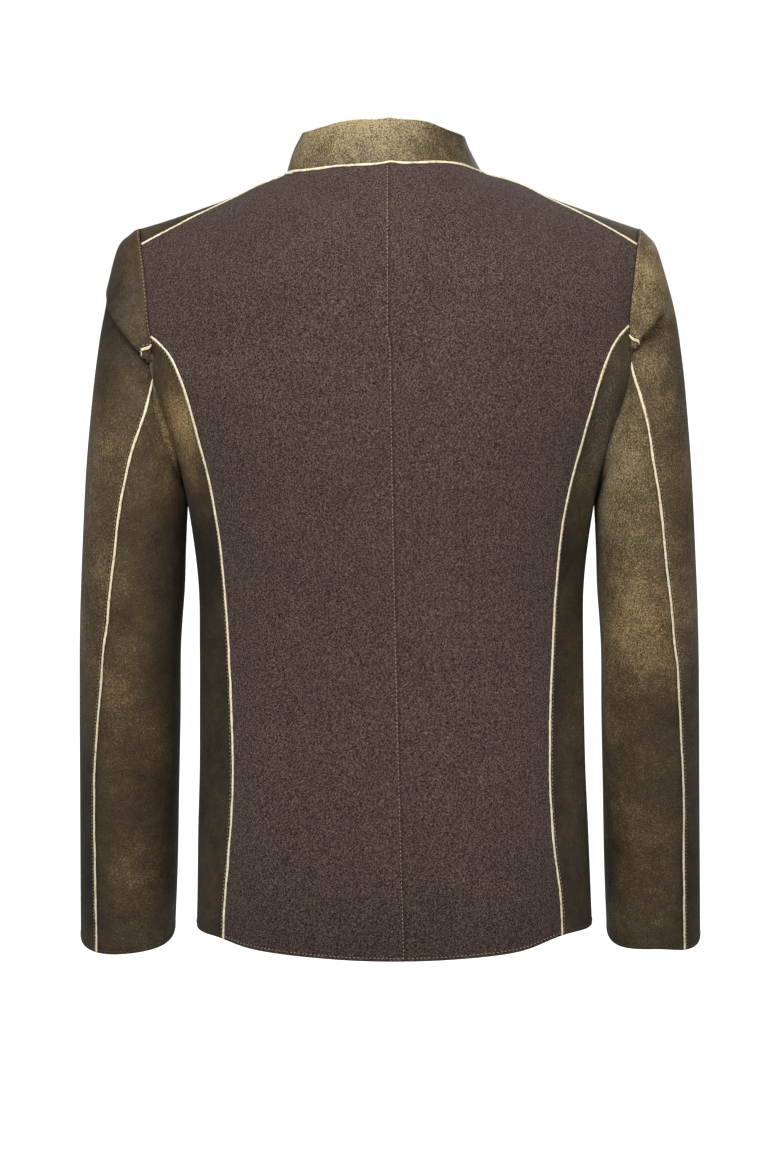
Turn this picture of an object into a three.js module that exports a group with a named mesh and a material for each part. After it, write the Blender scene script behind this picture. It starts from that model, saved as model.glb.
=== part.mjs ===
// Stand-collar leather jacket with a wool back, filled out as it is when worn.
// Millimetres, +Z up, front towards -Y, the wearer's left at +X. The origin is the middle of the
// shoulder line, level with the sides of the neck, where the wearer's shoulders hold the jacket up.
import * as THREE from "three";

// Cloth and seams
const LEATHER_WALL = 1.6;
const WOOL_WALL = 2.0;
const SEAM_GAP = 0.3;
const SLEEVE_GAP = 0.5;

// Body
const HEM_SIDE_Z = -682;
const HEM_CENTRE_Z = -690;
const CHEST_Z = -132; // the princess seams meet the armholes here
const SIDE_Y = -5; // the side line and the shoulder ridge lie on this plane
const SECTION_POWER = 2.5; // squareness of a level section
const ARMHOLE_BASE_X = 216.5; // half width between the armholes at chest level
const ARMHOLE_DROP = 130; // from chest level to the bottom of the armhole
const ARMHOLE_POWER = 2.5;
const SHOULDER_SPREAD = 0.0514; // how much wider the shoulder line is than the chest
const FRONT_SEAM_TOP_Z = -232; // the side panel's front seam meets the armhole here
const FRONT_SEAM_DEPTH = 64; // that seam's place in front of the side line, below the waist
const FRONT_OVERLAP = 18; // how far each front runs past the centre line
const UNDERLAP_DEPTH = 2.6; // how far the right front sinks to pass under the left one

// Neck and collar
const NECK = { x: 5.3, y: -8.5, halfWidth: 88.6, halfDepth: 67 };
const COLLAR_TOP = { x: 6, y: -8.5, halfWidth: 74.5, halfDepth: 55.5 };
const COLLAR_HEIGHT = 38;
const COLLAR_HEIGHT_SPREAD = 2; // higher at the back, lower at the front
const COLLAR_FLARE = 2.5; // how far the lower half hollows in
const COLLAR_END_X = 4; // each collar end stops this far from the centre line
const UNDER_LAP_CLEAR = 18; // the collar's welt stops this far before the right end

// Welts: the raw cream edges that show along the seams
const WELT_WIDTH = 2.4;
const WELT_HEIGHT = 1.2;
const WELT_TAPER = 0.8; // top width over bottom width
const WELT_LIFT = 0.3;
const SLEEVE_WELT_LIFT = 0.7; // higher, because it runs through a fold
const COLLAR_WELT_GAP = 0.5; // from the neck seam up to the collar's welt

// Buttons
const BUTTON_COUNT = 6;
const BUTTON_TOP_Z = -88;
const BUTTON_PITCH = 92;
const BUTTON_LIFT = 0.7; // above the front
const BUTTON_SIDES = 20;
const TOP_BUTTON_TURN = 160; // the top button's place on the yoke, in degrees over the shoulder
// Profile of a button, from the middle of its back to the middle of its dished face
const BUTTON_PROFILE = [
  { radius: 0, height: 0 },
  { radius: 9, height: 0 },
  { radius: 10, height: 1.2 },
  { radius: 10, height: 3.2 },
  { radius: 8.8, height: 4.2 },
  { radius: 7, height: 3.1 },
  { radius: 0, height: 2.9 },
];

// How finely the walls are divided
const BODY_ROWS = 12;
const ARMHOLE_ROWS = 3; // front only, from the side panel's seam up to chest level
const BACK_ARCH_ROWS = 5;
const FRONT_ARCH_ROWS = 8;
const BACK_NECK_COLUMNS = 5;
const FRONT_NECK_COLUMNS = 6;
const SHOULDER_COLUMNS = 5;
const SIDE_COLUMN_TURNS = [0, 8, 24, 42, 60, 78, 96, 114, 130]; // round the armhole's lower half
const COLLAR_ROWS = 3;
const SLEEVE_STEP = 0.5; // in rings of the table below
const FOLD_STEP = 0.25; // finer, across the drag fold
const FOLD_RINGS = { first: 2.5, last: 5.5 };

// Level sections of the body. half: half width; back, front: depth behind and before the side
// line; sway: how far the jacket hangs off centre; seam: half width between the princess seams.
const BODY = [
  { z: -700, half: 186, back: 129, front: 120, sway: -3.5, seam: 155 },
  { z: -651, half: 184, back: 127.5, front: 119.5, sway: -3, seam: 153 },
  { z: -594, half: 182, back: 122.5, front: 118, sway: -2.2, seam: 147 },
  { z: -536, half: 179.5, back: 114.5, front: 115, sway: -1.6, seam: 143 },
  { z: -479, half: 178.3, back: 107, front: 112, sway: -1, seam: 143.3 },
  { z: -422, half: 177.5, back: 103.5, front: 111, sway: -0.6, seam: 145.3 },
  { z: -365, half: 177.7, back: 105, front: 113.5, sway: -0.3, seam: 148 },
  { z: -308, half: 183, back: 111.3, front: 116, sway: 0, seam: 153 },
  { z: -262, half: 192, back: 117, front: 118, sway: 0, seam: 160.5 },
  { z: -230, half: 205, back: 120, front: 117.5, sway: 0, seam: 168 },
  { z: -194, half: 224, back: 121.3, front: 115.5, sway: 0, seam: 177.5 },
  { z: -166, half: 237, back: 120.8, front: 112.5, sway: 0, seam: 187.5 },
  { z: -146, half: 239, back: 119.6, front: 110, sway: 0, seam: 199 },
  { z: CHEST_Z, half: 238.5, back: 119, front: 108, sway: 0, seam: ARMHOLE_BASE_X },
];

// Shoulder ridge: its height at a distance from the centre line. Inside the neck the two halves
// of the yoke rise towards different heights, because the front of the neck sits lower.
const RIDGE = [
  { x: 0, back: 49, front: 2 },
  { x: 45, back: 38, front: 7 },
  { x: 94, back: 10, front: 10 },
  { x: 120, back: 0.5, front: 0.5 },
  { x: 143, back: -10, front: -10 },
  { x: 173, back: -21, front: -21 },
  { x: 205, back: -32, front: -32 },
  { x: 232, back: -40, front: -40 },
];

// Centre back seam: it drifts a little off centre on the way down.
const CENTRE_SEAM_TOP_X = 1.3;
const CENTRE_SEAM_HEM_X = -10;

// Sleeve rings. outX, outZ: the outer edge; inX, inZ: the inner edge; y, depth: centre and half
// depth; armhole: how much of the armhole's own outline the ring keeps; seam: turn of the back
// seam from the outer edge, in degrees.
const SLEEVE = [
  { ring: 0, outX: 227, outZ: -39, inX: 190, inZ: -262, y: -2, depth: 62, armhole: 1 },
  { ring: 1, outX: 238, outZ: -43.5, inX: 191.6, inZ: -266, y: -2, depth: 63, armhole: 0.72 },
  { ring: 2, outX: 248, outZ: -56, inX: 192.8, inZ: -271, y: -2, depth: 64.5, armhole: 0.45 },
  { ring: 3, outX: 256.5, outZ: -87, inX: 193, inZ: -279, y: -2, depth: 66, armhole: 0.22 },
  { ring: 4, outX: 263.5, outZ: -127, inX: 192.5, inZ: -291, y: -2, depth: 67, armhole: 0.07 },
  { ring: 5, outX: 271, outZ: -189, inX: 191, inZ: -311, y: -2, depth: 67, armhole: 0 },
  { ring: 6, outX: 277.5, outZ: -251, inX: 190, inZ: -337, y: -3, depth: 66, armhole: 0 },
  { ring: 7, outX: 282.5, outZ: -320, inX: 191.5, inZ: -370, y: -5, depth: 64, armhole: 0 },
  { ring: 8, outX: 287.5, outZ: -400, inX: 194.5, inZ: -424, y: -10, depth: 61.5, armhole: 0 },
  { ring: 9, outX: 290.5, outZ: -480, inX: 197, inZ: -490, y: -20, depth: 58.5, armhole: 0 },
  { ring: 10, outX: 293, outZ: -562, inX: 200, inZ: -564, y: -34, depth: 55, armhole: 0 },
  { ring: 11, outX: 295.5, outZ: -644, inX: 203, inZ: -640, y: -49, depth: 52, armhole: 0 },
  { ring: 12, outX: 297.5, outZ: -712, inX: 207, inZ: -704, y: -62, depth: 49.5, armhole: 0 },
];
const SLEEVE_RINGS = SLEEVE.length - 1;

// Seams of the sleeve: turns in degrees from the outer edge, towards the back.
const SLEEVE_SEAMS = [
  { ring: 0, back: 86, front: 227 },
  { ring: 3, back: 93, front: 227 },
  { ring: 5, back: 86, front: 230 },
  { ring: 7, back: 73, front: 232 },
  { ring: 8, back: 66, front: 232 },
  { ring: 9, back: 60, front: 232 },
  { ring: 10, back: 56, front: 232 },
  { ring: 12, back: 56, front: 232 },
];
const SLEEVE_POWER = 2.2; // squareness of a sleeve's section
const CUFF_TILT = 0.24; // the cuff's rim hangs lower behind, because the arm hangs forward
const CUFF_TILT_FROM = 9; // the ring where the tilt starts

// The drag fold from the outer arm to the armpit, in the back view of the left sleeve.
const FOLD = { fromX: 258, fromZ: -112, toX: 210, toZ: -176, lip: 3.5, trough: 5, above: 30, below: 42 };
const FRONT_FOLD_SHARE = 0.6; // the like fold on the front of the arm is weaker

// Materials
const LEATHER = { color: 0x5a4e3c, roughness: 0.55, metalness: 0.0 };
const COLLAR_LEATHER = { color: 0x857859, roughness: 0.5, metalness: 0.0 };
const WOOL = { color: 0x51433d, roughness: 0.95, metalness: 0.0 };
const RAW_EDGE = { color: 0xe6d6ae, roughness: 0.9, metalness: 0.0 };
const HORN = { color: 0x4a3a2a, roughness: 0.4, metalness: 0.0 };

const radians = (degrees) => (degrees * Math.PI) / 180;
const mix = (a, b, share) => a + (b - a) * share;
const steps = (count) => Array.from({ length: count + 1 }, (_, i) => i / count);
const clamp01 = (value) => Math.min(1, Math.max(0, value));
const smooth = (value) => clamp01(value) ** 2 * (3 - 2 * clamp01(value));

// Reads a column of a table at a place between its rows, along a smooth curve through them.
function readTable(rows, key, column, at) {
  const last = rows.length - 1;
  let i = 0;
  while (i < last - 1 && at > rows[i + 1][key]) i++;
  const slope = (k) => {
    const [a, b] = [rows[Math.max(0, k - 1)], rows[Math.min(last, k + 1)]];
    return (b[column] - a[column]) / (b[key] - a[key]);
  };
  const width = rows[i + 1][key] - rows[i][key];
  const t = clamp01((at - rows[i][key]) / width);
  return (
    rows[i][column] * (1 + 2 * t) * (1 - t) ** 2 +
    rows[i + 1][column] * (3 - 2 * t) * t ** 2 +
    width * (slope(i) * t * (1 - t) ** 2 - slope(i + 1) * t ** 2 * (1 - t))
  );
}

// The place between low and high where a rising function passes zero.
function solve(rising, low, high) {
  for (let i = 0; i < 50; i++) {
    const middle = (low + high) / 2;
    if (rising(middle) < 0) low = middle;
    else high = middle;
  }
  return (low + high) / 2;
}

// Radius of a squared unit circle at an angle.
const squared = (angle, power) =>
  (Math.abs(Math.cos(angle)) ** power + Math.abs(Math.sin(angle)) ** power) ** (-1 / power);

// The body below chest level

const section = (z, column) => readTable(BODY, "z", column, z);

// Depth of a level section at a distance from the centre line, before or behind the side line.
function sectionDepth(x, z, column) {
  const share = Math.min(1, Math.abs(x) / section(z, "half"));
  return section(z, column) * (1 - share ** SECTION_POWER) ** (1 / SECTION_POWER);
}

// Angle round the body, in degrees: 0 at the side, 90 at centre back, -90 at centre front.
const backAngle = (x, z) => (Math.atan2(sectionDepth(x, z, "back"), x) * 180) / Math.PI;
const frontAngle = (x, z) => (Math.atan2(-sectionDepth(x, z, "front"), x) * 180) / Math.PI;

// Angle of the point at a depth y behind the side line, on the side of the body.
function sideAngle(y, z) {
  const share = Math.abs(y) / section(z, y > 0 ? "back" : "front");
  const x = section(z, "half") * (1 - share ** SECTION_POWER) ** (1 / SECTION_POWER);
  return (Math.atan2(y, x) * 180) / Math.PI;
}

// A point of the body below chest level, on the side that the angle starts from.
function bodyPoint(angle, z) {
  const a = radians(angle);
  const depth = section(z, angle > 0 ? "back" : "front");
  const across = Math.abs(Math.cos(a)) / section(z, "half");
  const along = Math.abs(Math.sin(a)) / depth;
  const r = (across ** SECTION_POWER + along ** SECTION_POWER) ** (-1 / SECTION_POWER);
  return new THREE.Vector3(r * Math.cos(a), SIDE_Y + r * Math.sin(a), z);
}

// The yoke above chest level

// A point of the yoke: baseX is its distance from the centre at chest level, and turn goes from 0
// at the back, over the ridge at 90, to 180 at the front.
function yokePoint(baseX, turn) {
  const t = radians(turn);
  const side = turn <= 90 ? "back" : "front";
  const x = baseX * (1 + SHOULDER_SPREAD * Math.sin(t) ** 2);
  const power = side === "back" ? 2 : 1.4 + 0.6 * Math.min(1, (baseX / 200) ** 2);
  const r = squared(t, power);
  const ridge = readTable(RIDGE, "x", side, Math.abs(x));
  const y = SIDE_Y + sectionDepth(baseX, CHEST_Z, side) * r * Math.cos(t);
  return new THREE.Vector3(x, y, CHEST_Z + (ridge - CHEST_Z) * r * Math.sin(t));
}

// Turn at which the shoulder seam crosses: on the ridge at the neck, well behind it at the tip.
function shoulderTurn(baseX) {
  const outwards = Math.max(0, (baseX - NECK.halfWidth) / (ARMHOLE_BASE_X - NECK.halfWidth));
  return 89 - 31 * outwards ** 1.4;
}

// How far outside the neck's outline a point lies, below zero inside it.
function outsideNeck(side, point) {
  const across = (side * point.x - NECK.x) / NECK.halfWidth;
  return across ** 2 + ((point.y - NECK.y) / NECK.halfDepth) ** 2 - 1;
}

// Distance from the centre, at chest level, of the column that ends where shoulder seam and neck meet.
const neckPointX = (side) =>
  solve((x) => outsideNeck(side, yokePoint(x, shoulderTurn(x))), 55, 130);

// The turn at which a column of the yoke ends: at the neck or at the shoulder seam.
function backEndTurn(side, baseX) {
  if (baseX >= neckPointX(side) - 0.01) return shoulderTurn(baseX);
  return solve((turn) => -outsideNeck(side, yokePoint(baseX, turn)), 0, 89);
}
function frontEndTurn(side, baseX) {
  if (baseX >= neckPointX(side) - 0.01) return shoulderTurn(baseX);
  return solve((turn) => outsideNeck(side, yokePoint(baseX, turn)), 89, 180);
}

// Spots: a point of the cloth's outer face with the direction out of the cloth.

function spotOf(pointAt, u, v, du, dv, side, inwardPoint) {
  const p = pointAt(u, v);
  const alongU = pointAt(u + du, v).sub(pointAt(u - du, v));
  const n = alongU.cross(pointAt(u, v + dv).sub(pointAt(u, v - dv))).normalize();
  if (n.dot(p.clone().sub(inwardPoint)) < 0) n.negate();
  p.x *= side;
  n.x *= side;
  return { p, n };
}

const BODY_MIDDLE = new THREE.Vector3(0, SIDE_Y, -200);
function bodySpot(side, angle, z) {
  const inward = new THREE.Vector3(0, SIDE_Y, z);
  const spot = spotOf(bodyPoint, angle, z, 0.5, 1, side, inward);
  spot.p.x += section(z, "sway");
  return spot;
}
const yokeSpot = (side, baseX, turn) =>
  spotOf(yokePoint, baseX, turn, 1, 1, side, BODY_MIDDLE);

// Seams of the body

const hemZ = (angle) =>
  mix(HEM_SIDE_Z, HEM_CENTRE_Z, Math.abs(Math.sin(radians(angle))) ** 2);

function centreSeamX(z) {
  return mix(CENTRE_SEAM_TOP_X, CENTRE_SEAM_HEM_X, clamp01(z / HEM_CENTRE_Z));
}
const princessAngle = (z) => backAngle(section(z, "seam"), z);

// The lower half of the armhole: round from the back of chest level, under the arm, to the front.
function armholeLow(turn) {
  const t = radians(turn);
  const r = squared(t, ARMHOLE_POWER);
  const width = sectionDepth(ARMHOLE_BASE_X, CHEST_Z, turn < 90 ? "back" : "front");
  const z = CHEST_Z - ARMHOLE_DROP * r * Math.sin(t);
  return { z, angle: sideAngle(width * r * Math.cos(t), z) };
}
const armholeFrontTurn = (z) => solve((turn) => armholeLow(turn).z - z, 95, 180);

function frontSeamAngle(z) {
  const top = armholeLow(armholeFrontTurn(FRONT_SEAM_TOP_Z)).angle;
  const low = sideAngle(-FRONT_SEAM_DEPTH, z);
  return mix(top, low, smooth((FRONT_SEAM_TOP_Z - z) / 160));
}

// Grids of spots, a row for each level, from the hem upwards.

function backGrid(side) {
  const neckX = neckPointX(side);
  const centreX = side * centreSeamX(0);
  const columns = [
    ...steps(BACK_NECK_COLUMNS).map((s) => mix(centreX, neckX, s)),
    ...steps(SHOULDER_COLUMNS).slice(1).map((s) => mix(neckX, ARMHOLE_BASE_X, s)),
  ];
  const [inner, outer] = [columns[0], ARMHOLE_BASE_X].map((x) => backAngle(x, CHEST_Z));
  const shares = columns.map((x) => (backAngle(x, CHEST_Z) - inner) / (outer - inner));
  const rows = steps(BODY_ROWS).map((level) =>
    shares.map((share) => {
      const rough = mix(HEM_CENTRE_Z, CHEST_Z, level);
      const at = (z) => mix(backAngle(side * centreSeamX(z), z), princessAngle(z), share);
      const z = mix(hemZ(at(rough)), CHEST_Z, level);
      return bodySpot(side, at(z), z);
    }),
  );
  const ends = columns.map((x) => backEndTurn(side, x));
  for (const level of steps(BACK_ARCH_ROWS).slice(1))
    rows.push(columns.map((x, j) => yokeSpot(side, x, ends[j] * level)));
  return rows;
}

// Sinks a spot of the right front towards the body where the left front lies over it.
function underlap(side, spot) {
  if (side > 0 || spot.p.y > SIDE_Y) return spot;
  const share = smooth((spot.p.x + 2.4 * FRONT_OVERLAP) / FRONT_OVERLAP);
  spot.p.addScaledVector(spot.n, -UNDERLAP_DEPTH * share);
  return spot;
}

function frontGrid(side) {
  const neckX = neckPointX(side);
  const columns = [
    -FRONT_OVERLAP,
    ...steps(FRONT_NECK_COLUMNS).map((s) => mix(COLLAR_END_X, neckX, s)),
    ...steps(SHOULDER_COLUMNS).slice(1).map((s) => mix(neckX, ARMHOLE_BASE_X, s)),
  ];
  const [inner, outer] = [columns[0], ARMHOLE_BASE_X].map((x) => frontAngle(x, CHEST_Z));
  const shares = columns.map((x) => (frontAngle(x, CHEST_Z) - inner) / (outer - inner));
  const spotAt = (share, z, outerAngle) =>
    underlap(side, bodySpot(side, mix(frontAngle(-FRONT_OVERLAP, z), outerAngle, share), z));
  const rows = steps(BODY_ROWS).map((level) =>
    shares.map((share) => {
      const rough = mix(HEM_CENTRE_Z, FRONT_SEAM_TOP_Z, level);
      const angle = mix(frontAngle(-FRONT_OVERLAP, rough), frontSeamAngle(rough), share);
      const z = mix(hemZ(angle), FRONT_SEAM_TOP_Z, level);
      return spotAt(share, z, frontSeamAngle(z));
    }),
  );
  const lowTurn = armholeFrontTurn(FRONT_SEAM_TOP_Z);
  for (const level of steps(ARMHOLE_ROWS).slice(1)) {
    const edge = armholeLow(mix(lowTurn, 180, level));
    rows.push(shares.map((share) => spotAt(share, edge.z, edge.angle)));
  }
  const ends = columns.map((x) => frontEndTurn(side, x));
  for (const level of steps(FRONT_ARCH_ROWS).slice(1))
    rows.push(
      columns.map((x, j) => underlap(side, yokeSpot(side, x, mix(180, ends[j], level)))),
    );
  return rows;
}

// The side panel fills the outline between its two seams, the hem and the armhole.
function sideGrid(side) {
  const lowTurn = armholeFrontTurn(FRONT_SEAM_TOP_Z);
  const top = SIDE_COLUMN_TURNS.map((turn, j) =>
    armholeLow(j === SIDE_COLUMN_TURNS.length - 1 ? lowTurn : turn),
  );
  const span = top.length - 1;
  const across = top.map((_, j) => j / span);
  return steps(BODY_ROWS).map((up) => {
    const levels = [princessAngle, frontSeamAngle].map((seam, k) => {
      const highZ = [CHEST_Z, FRONT_SEAM_TOP_Z][k];
      const rough = mix(HEM_SIDE_Z, highZ, up);
      const z = mix(hemZ(seam(rough)), highZ, up);
      return { angle: seam(z), z };
    });
    const hemAngles = [princessAngle(HEM_SIDE_Z), frontSeamAngle(HEM_SIDE_Z)];
    const hem = (s) => {
      const angle = mix(...hemAngles, s);
      return { angle, z: hemZ(angle) };
    };
    return across.map((s, j) => {
      const part = (key) =>
        mix(levels[0][key], levels[1][key], s) +
        mix(hem(s)[key], top[j][key], up) -
        mix(
          mix(hem(0)[key], hem(1)[key], s),
          mix(top[0][key], top[span][key], s),
          up,
        );
      return bodySpot(side, part("angle"), part("z"));
    });
  });
}

// Sleeves

// Unit vector from an edge of the cloth, along its surface and square to the edge.
function squareTo(before, after, n, towards) {
  const across = after.clone().sub(before).cross(n).normalize();
  return across.dot(towards) < 0 ? across.negate() : across;
}

// The armhole as the body's edges draw it: from the tip of the shoulder, down the back, under the
// arm and up the front. away points out of the body's cloth, along its surface.
function armholeLoop(back, sidePanel, front) {
  const outerEdge = (rows) => rows.map((row) => row.at(-1));
  const down = outerEdge(back.slice(BODY_ROWS)).reverse();
  const under = sidePanel[BODY_ROWS].slice(1);
  const up = outerEdge(front.slice(BODY_ROWS + 1, -1));
  const spots = [...down, ...under, ...up];
  const middle = ringFrame(0).centre;
  const points = spots.map((spot, j) => {
    const before = spots[(j + spots.length - 1) % spots.length].p;
    const after = spots[(j + 1) % spots.length].p;
    const towards = middle.clone().sub(spot.p);
    return { ...spot, away: squareTo(before, after, spot.n, towards) };
  });
  return { points, seamBack: down.length, seamFront: down.length + under.length - 1 };
}

function ringFrame(ring) {
  const read = (column) => readTable(SLEEVE, "ring", column, ring);
  const outer = new THREE.Vector3(read("outX"), read("y"), read("outZ"));
  const inner = new THREE.Vector3(read("inX"), read("y"), read("inZ"));
  const across = outer.clone().sub(inner).normalize();
  return {
    centre: outer.clone().add(inner).multiplyScalar(0.5),
    half: outer.distanceTo(inner) / 2,
    depth: read("depth"),
    across,
    down: new THREE.Vector3(0, 1, 0).cross(across),
  };
}

// How far the drag fold pushes the sleeve's surface out at a place in the back view.
function foldPush(point) {
  const line = new THREE.Vector2(FOLD.toX - FOLD.fromX, FOLD.toZ - FOLD.fromZ);
  const offset = new THREE.Vector2(point.x - FOLD.fromX, point.z - FOLD.fromZ);
  const along = offset.dot(line) / line.lengthSq();
  const below = -offset.cross(line) / line.length();
  const fade = smooth((along + 0.25) / 0.5) * smooth((1.3 - along) / 0.4);
  const bump = (from, to) => {
    const share = clamp01((below - from) / (to - from));
    return Math.sin(Math.PI * share) ** 2;
  };
  return fade * (FOLD.lip * bump(-FOLD.above, 4) - FOLD.trough * bump(-2, FOLD.below));
}

// The left sleeve as closed rings of spots, in the order of the armhole's points.
function sleeveGrid(loop) {
  const count = loop.points.length;
  const levels = [0];
  while (levels.at(-1) < SLEEVE_RINGS) {
    const ring = levels.at(-1);
    const fine = ring >= FOLD_RINGS.first && ring < FOLD_RINGS.last;
    levels.push(ring + (fine ? FOLD_STEP : SLEEVE_STEP));
  }
  const top = ringFrame(0);
  const turnOf = (j, ring) => {
    const back = readTable(SLEEVE_SEAMS, "ring", "back", ring);
    const front = readTable(SLEEVE_SEAMS, "ring", "front", ring);
    const { seamBack, seamFront } = loop;
    if (j >= seamBack && j <= seamFront)
      return mix(back, front, (j - seamBack) / (seamFront - seamBack));
    const past = j > seamFront ? j - seamFront : j + count - seamFront;
    return mix(front, 360 + back, past / (count - seamFront + seamBack)) % 360;
  };
  const pointAt = (j, ring) => {
    const frame = ringFrame(ring);
    const turn = radians(turnOf(j, ring));
    const r = squared(turn, SLEEVE_POWER);
    const point = frame.centre.clone();
    point.addScaledVector(frame.across, frame.half * r * Math.cos(turn));
    point.y += frame.depth * r * Math.sin(turn);
    const keep = readTable(SLEEVE, "ring", "armhole", ring);
    if (keep > 0) {
      const { p, n, away } = loop.points[j];
      const edge = p.clone().addScaledVector(away, SLEEVE_GAP).addScaledVector(n, SLEEVE_GAP);
      const offset = edge.sub(top.centre);
      const kept = frame.centre.clone();
      kept.addScaledVector(frame.across, (offset.dot(top.across) * frame.half) / top.half);
      kept.addScaledVector(frame.down, offset.dot(top.down) * keep);
      kept.y += (offset.y * frame.depth) / top.depth;
      point.lerp(kept, keep);
    }
    const out = point.clone().sub(frame.centre).normalize();
    const behind = Math.sin(turn);
    const share = behind > 0 ? smooth(2 * behind) : FRONT_FOLD_SHARE * smooth(-2 * behind);
    point.addScaledVector(out, foldPush(point) * share * smooth(ring - 1));
    point.z -= (point.y - frame.centre.y) * CUFF_TILT * smooth((ring - CUFF_TILT_FROM) / 3);
    return point;
  };
  const points = levels.map((ring) => loop.points.map((_, j) => pointAt(j, ring)));
  const last = levels.length - 1;
  return points.map((row, i) =>
    row.map((p, j) => {
      const round = row[(j + 1) % count].clone().sub(row[(j + count - 1) % count]);
      const down = points[Math.min(last, i + 1)][j].clone().sub(points[Math.max(0, i - 1)][j]);
      const n = down.cross(round).normalize();
      if (i > 0) return { p, n };
      const { away } = loop.points[j];
      n.addScaledVector(away, -Math.max(0, n.dot(away))).normalize();
      return { p, n };
    }),
  );
}

const mirrored = (rows) =>
  rows.map((row) =>
    row.map(({ p, n }) => ({
      p: new THREE.Vector3(-p.x, p.y, p.z),
      n: new THREE.Vector3(-n.x, n.y, n.z),
    })),
  );

// Collar

// The neck's edge, from one end of the collar round the back to the other.
function neckLine(backs, fronts) {
  const frontEdge = (rows) => rows.at(-1).slice(1, FRONT_NECK_COLUMNS + 2);
  const backEdge = (rows) => rows.at(-1).slice(0, BACK_NECK_COLUMNS);
  return [
    ...frontEdge(fronts.left),
    ...backEdge(backs.left).reverse(),
    ...backEdge(backs.right).slice(1),
    ...frontEdge(fronts.right).reverse(),
  ];
}

function collarGrid(base) {
  const pointAt = ({ p }, up) => {
    const turn = Math.atan2((p.y - NECK.y) / NECK.halfDepth, (p.x - NECK.x) / NECK.halfWidth);
    const top = new THREE.Vector3(
      COLLAR_TOP.x + COLLAR_TOP.halfWidth * Math.cos(turn),
      COLLAR_TOP.y + COLLAR_TOP.halfDepth * Math.sin(turn),
      p.z + COLLAR_HEIGHT + COLLAR_HEIGHT_SPREAD * Math.sin(turn),
    );
    const rise = top.clone().sub(p);
    const hollow = COLLAR_FLARE * Math.sin(Math.PI * up) * (1 - up);
    const point = p.clone().addScaledVector(rise, up);
    point.addScaledVector(rise.normalize(), SEAM_GAP * (1 - up));
    point.x -= hollow * Math.cos(turn);
    point.y -= hollow * Math.sin(turn);
    return point;
  };
  const points = steps(COLLAR_ROWS).map((up) => base.map((edge) => pointAt(edge, up)));
  const last = { row: COLLAR_ROWS, column: base.length - 1 };
  return points.map((row, i) =>
    row.map((p, j) => {
      const before = row[Math.max(0, j - 1)];
      const round = row[Math.min(last.column, j + 1)].clone().sub(before);
      const rise = points[Math.min(last.row, i + 1)][j].clone().sub(points[Math.max(0, i - 1)][j]);
      return { p, n: round.cross(rise).normalize() };
    }),
  );
}

// Solids

function solid(name, material, positions, triangles) {
  const geometry = new THREE.BufferGeometry();
  geometry.setAttribute("position", new THREE.Float32BufferAttribute(positions.flat(), 3));
  geometry.setIndex(triangles.flat());
  geometry.computeVertexNormals();
  const mesh = new THREE.Mesh(geometry, new THREE.MeshStandardMaterial(material));
  mesh.name = name;
  return mesh;
}

// Volume enclosed by the triangles: below zero when the faces point inwards.
function signedVolume(positions, triangles) {
  const corner = (index) => new THREE.Vector3(...positions[index]);
  return triangles.reduce(
    (sum, [a, b, c]) => sum + corner(a).dot(corner(b).cross(corner(c))) / 6,
    0,
  );
}
const facingOut = (positions, triangles) =>
  signedVolume(positions, triangles) > 0
    ? triangles
    : triangles.map(([a, b, c]) => [a, c, b]);

// A wall of cloth under a grid of spots, its edges drawn back for the seams.
function clothPanel(name, material, rows, wall) {
  const [high, wide] = [rows.length, rows[0].length];
  const drawnBack = (i, j) => {
    const p = rows[i][j].p.clone();
    const towards = (row, column) =>
      p.add(rows[row][column].p.clone().sub(rows[i][j].p).setLength(SEAM_GAP / 2));
    if (i === 0) towards(1, j);
    if (i === high - 1) towards(high - 2, j);
    if (j === 0) towards(i, 1);
    if (j === wide - 1) towards(i, wide - 2);
    return p;
  };
  const outer = rows.map((row, i) => row.map((_, j) => drawnBack(i, j)));
  const inner = outer.map((row, i) =>
    row.map((p, j) => p.clone().addScaledVector(rows[i][j].n, -wall)),
  );
  const positions = [...outer.flat(), ...inner.flat()].map((p) => p.toArray());
  const under = high * wide;
  const at = (i, j) => i * wide + j;
  const triangles = [];
  const quad = (a, b, c, d) => triangles.push([a, b, c], [a, c, d]);
  for (let i = 0; i < high - 1; i++)
    for (let j = 0; j < wide - 1; j++) {
      quad(at(i, j), at(i, j + 1), at(i + 1, j + 1), at(i + 1, j));
      quad(under + at(i, j), under + at(i + 1, j), under + at(i + 1, j + 1), under + at(i, j + 1));
    }
  const rim = [
    ...rows[0].map((_, j) => at(0, j)),
    ...rows.slice(1).map((_, i) => at(i + 1, wide - 1)),
    ...rows[0].slice(1).map((_, j) => at(high - 1, wide - 2 - j)),
    ...rows.slice(2).map((_, i) => at(high - 2 - i, 0)),
  ];
  // The rims of two panels that meet are split along the same diagonals.
  rim.forEach((a, k) => {
    const b = rim[(k + 1) % rim.length];
    if (a < b) quad(b, a, under + a, under + b);
    else quad(a, under + a, under + b, b);
  });
  return solid(name, material, positions, facingOut(positions, triangles));
}

// Drops the ends of a line of spots, so that a welt stops short by the given distances.
function shortened(spots, first, last) {
  const cut = (line, distance) => {
    let left = distance;
    let k = 0;
    while (k < line.length - 2 && line[k].p.distanceTo(line[k + 1].p) <= left)
      left -= line[k].p.distanceTo(line[k++ + 1].p);
    const share = left / line[k].p.distanceTo(line[k + 1].p);
    const start = {
      p: line[k].p.clone().lerp(line[k + 1].p, share),
      n: line[k].n.clone().lerp(line[k + 1].n, share).normalize(),
    };
    return [start, ...line.slice(k + 1)];
  };
  return cut(cut(spots, first).reverse(), last).reverse();
}

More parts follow.
